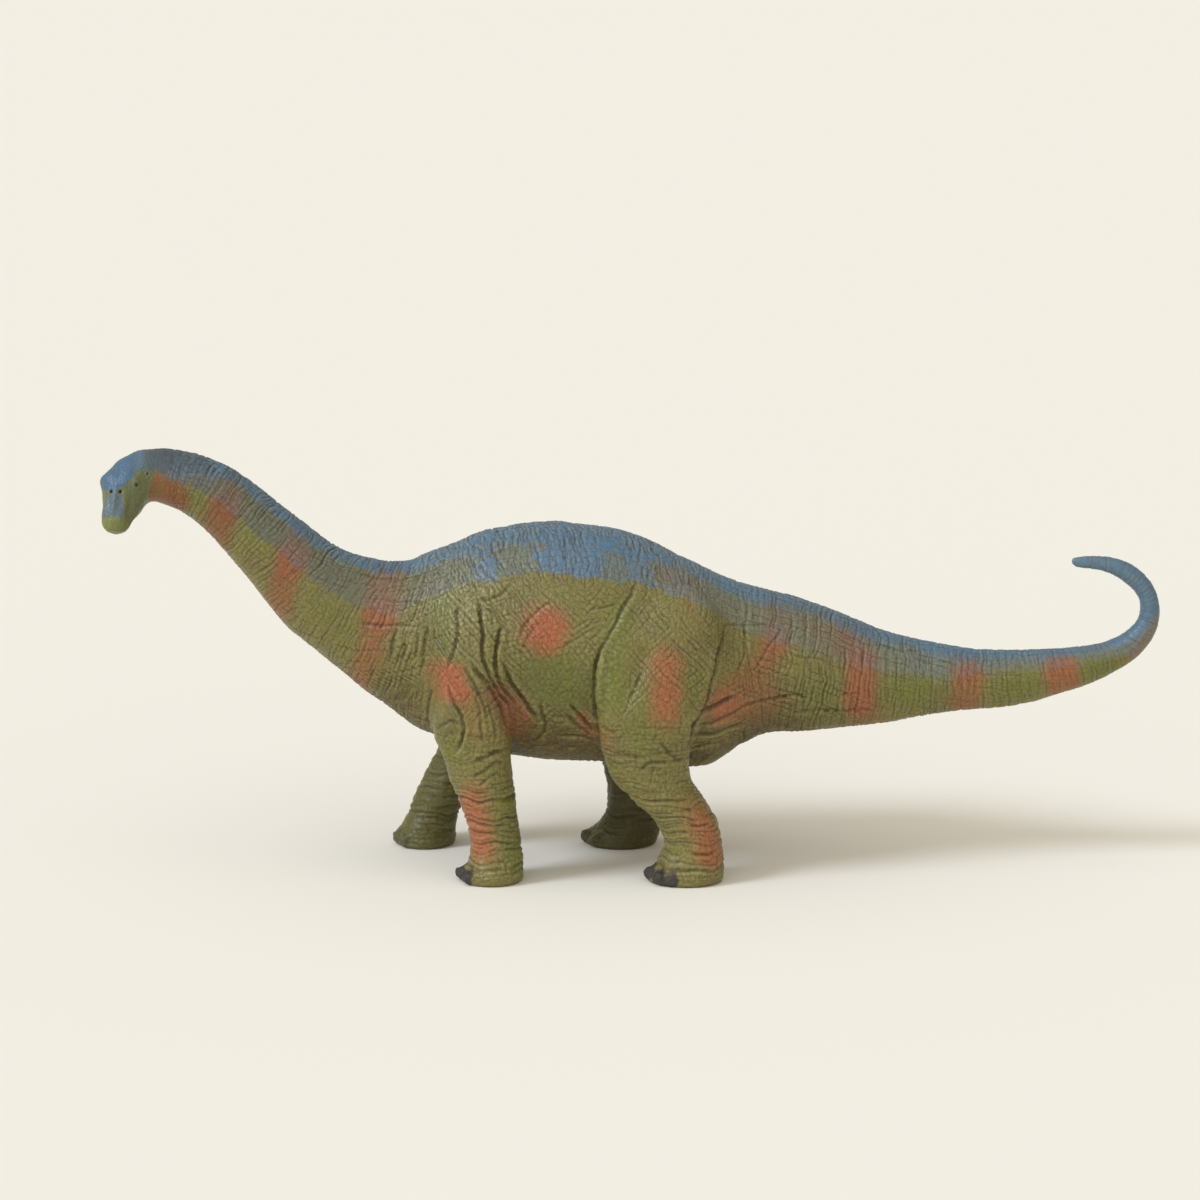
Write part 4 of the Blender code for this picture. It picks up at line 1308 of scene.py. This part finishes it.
def place_piece(name, mesh):
    """Makes a finished piece from its cut mesh."""
    inner = np.zeros(len(mesh.polygons), np.float32)
    mesh.attributes["cut"].data.foreach_get("value", inner)
    mesh.polygons.foreach_set("use_smooth", inner < 0.5)
    form = opened(mesh)
    marked = form.faces.layers.float["cut"]
    for edge in form.edges:
        walls = [face[marked] > 0.5 for face in edge.link_faces]
        edge.smooth = not (any(walls) and not all(walls))
    form.faces.layers.float.remove(marked)
    open_edges = sum(not edge.is_manifold for edge in form.edges)
    form.to_mesh(mesh)
    form.free()
    mesh.materials.clear()
    mesh.materials.append(vinyl)
    piece = linked(name + "_skin", mesh)
    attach(piece, "root")
    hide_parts(name)
    print(piece.name, len(mesh.polygons), "faces,", open_edges, "open edges")


for name, mesh in sorted(pieces.items()):
    place_piece(name, mesh)

# %% [markdown]
# ## The eyes
#
# Each eye is a tiny dark bead of gloss paint. A subdivided icosphere, squeezed a little, sits in
# the carved socket. The far eye is mirrored across the middle of the head, and sits lower on it.

# %% Set in the eyes
def eye_paint():
    """Glossy dark brown paint, mottled with a lighter brown."""
    material, tree, shader = new_material("eye_gloss")
    place = tree.nodes.new("ShaderNodeTexCoord").outputs["Object"]
    mottle = node(tree, "ShaderNodeTexNoise", Vector=place, Scale=2400.0, Detail=2.0)
    colour = layer(tree, tone(16, 14, 12), tone(58, 40, 22), mottle.outputs["Fac"])
    tree.links.new(colour, shader.inputs["Base Color"])
    shader.inputs["Roughness"].default_value = 0.25
    shader.inputs["Coat Weight"].default_value = 0.15
    return material


EYE_RADIUS = 0.38
EYE_STANDS_OUT = 0.05


def eye(name, middle, out):
    """A squeezed bead at a place in millimetres, facing out."""
    form = bmesh.new()
    bmesh.ops.create_icosphere(form, subdivisions=4, radius=EYE_RADIUS * MM)
    bmesh.ops.scale(form, verts=form.verts, vec=(1, 1, 0.8))
    smooth_where(form, lambda place: place.z > 0.2, 1)
    turn = Vector(out).to_track_quat("Z", "Y").to_matrix()
    bmesh.ops.rotate(form, verts=form.verts, cent=(0, 0, 0), matrix=turn)
    bmesh.ops.translate(form, verts=form.verts, vec=Vector(middle) * MM)
    for face in form.faces:
        face.smooth = True
    bead = linked(name, solid_mesh(name, form))
    bead.data.materials.append(gloss)
    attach(bead, "root")
    return bead


gloss = eye_paint()
points = read_points(pieces["head"]) / MM
normals = read_normals(pieces["head"])
for name, place in (("eye_left", Vector(EYE_LEFT)), ("eye_right", Vector(EYE_RIGHT))):
    deepest = int(((points - np.array(place)) ** 2).sum(axis=1).argmin())
    socket, out = Vector(points[deepest]), Vector(normals[deepest])
    eye(name, socket + out * EYE_STANDS_OUT, out)
    print(name, "set", round((socket - place).length, 2), "mm from its mark")

# %% [markdown]
# ## A plain studio
#
# The figure stands on a pale floor that runs on past the top of the picture. A sun lamp lights a
# floor evenly all the way, which an area lamp doesn't. Its angle is wide, so that the shadow is
# soft, as a window's is. A much wider and weaker one stands for the light of the room on the
# viewer's side, and the pale world lights the rest.

# %% The floor
FLOOR_WHITE = tone(247, 243, 232)
form = bmesh.new()
bmesh.ops.create_circle(form, cap_ends=True, segments=48, radius=40)
floor = linked("floor", solid_mesh("floor", form))
paper, _, paper_shader = new_material("floor_paper")
paper_shader.inputs["Base Color"].default_value = FLOOR_WHITE
paper_shader.inputs["Roughness"].default_value = 1.0
paper_shader.inputs["Specular IOR Level"].default_value = 0.0
floor.data.materials.append(paper)
print("floor laid")

# %% Sun and world
def sun(name, heading, strength, width, colour):
    """A sun lamp that shines along a heading, as wide in the sky as the width in degrees."""
    data = bpy.data.lights.new(name, "SUN")
    data.energy = strength
    data.angle = math.radians(width)
    data.color = colour
    thing = bpy.data.objects.new(name, data)
    thing.rotation_euler = Vector(heading).to_track_quat("-Z", "Y").to_euler()
    bpy.context.scene.collection.objects.link(thing)


sun("window", (1.19, 0.54, -1.0), 1.7, 18, (0.76, 0.84, 1))
sun("room", (0.3, 1.0, -1.0), 0.95, 110, (1, 0.97, 0.88))
world = bpy.data.worlds.new("studio")
bpy.context.scene.world = world
world.use_nodes = True
sky = world.node_tree
lit = sky.nodes["Background"]
lit.inputs["Color"].default_value = (1, 0.96, 0.88, 1)
lit.inputs["Strength"].default_value = 0.5
seen = sky.nodes.new("ShaderNodeBackground")
seen.inputs["Color"].default_value = tone(240, 236, 224)
rays = sky.nodes.new("ShaderNodeLightPath")
either = sky.nodes.new("ShaderNodeMixShader")
sky.links.new(rays.outputs["Is Camera Ray"], either.inputs[0])
sky.links.new(lit.outputs[0], either.inputs[1])
sky.links.new(seen.outputs[0], either.inputs[2])
sky.links.new(either.outputs[0], sky.nodes["World Output"].inputs["Surface"])
bpy.context.scene.view_settings.view_transform = "Standard"
print("two suns and a world")
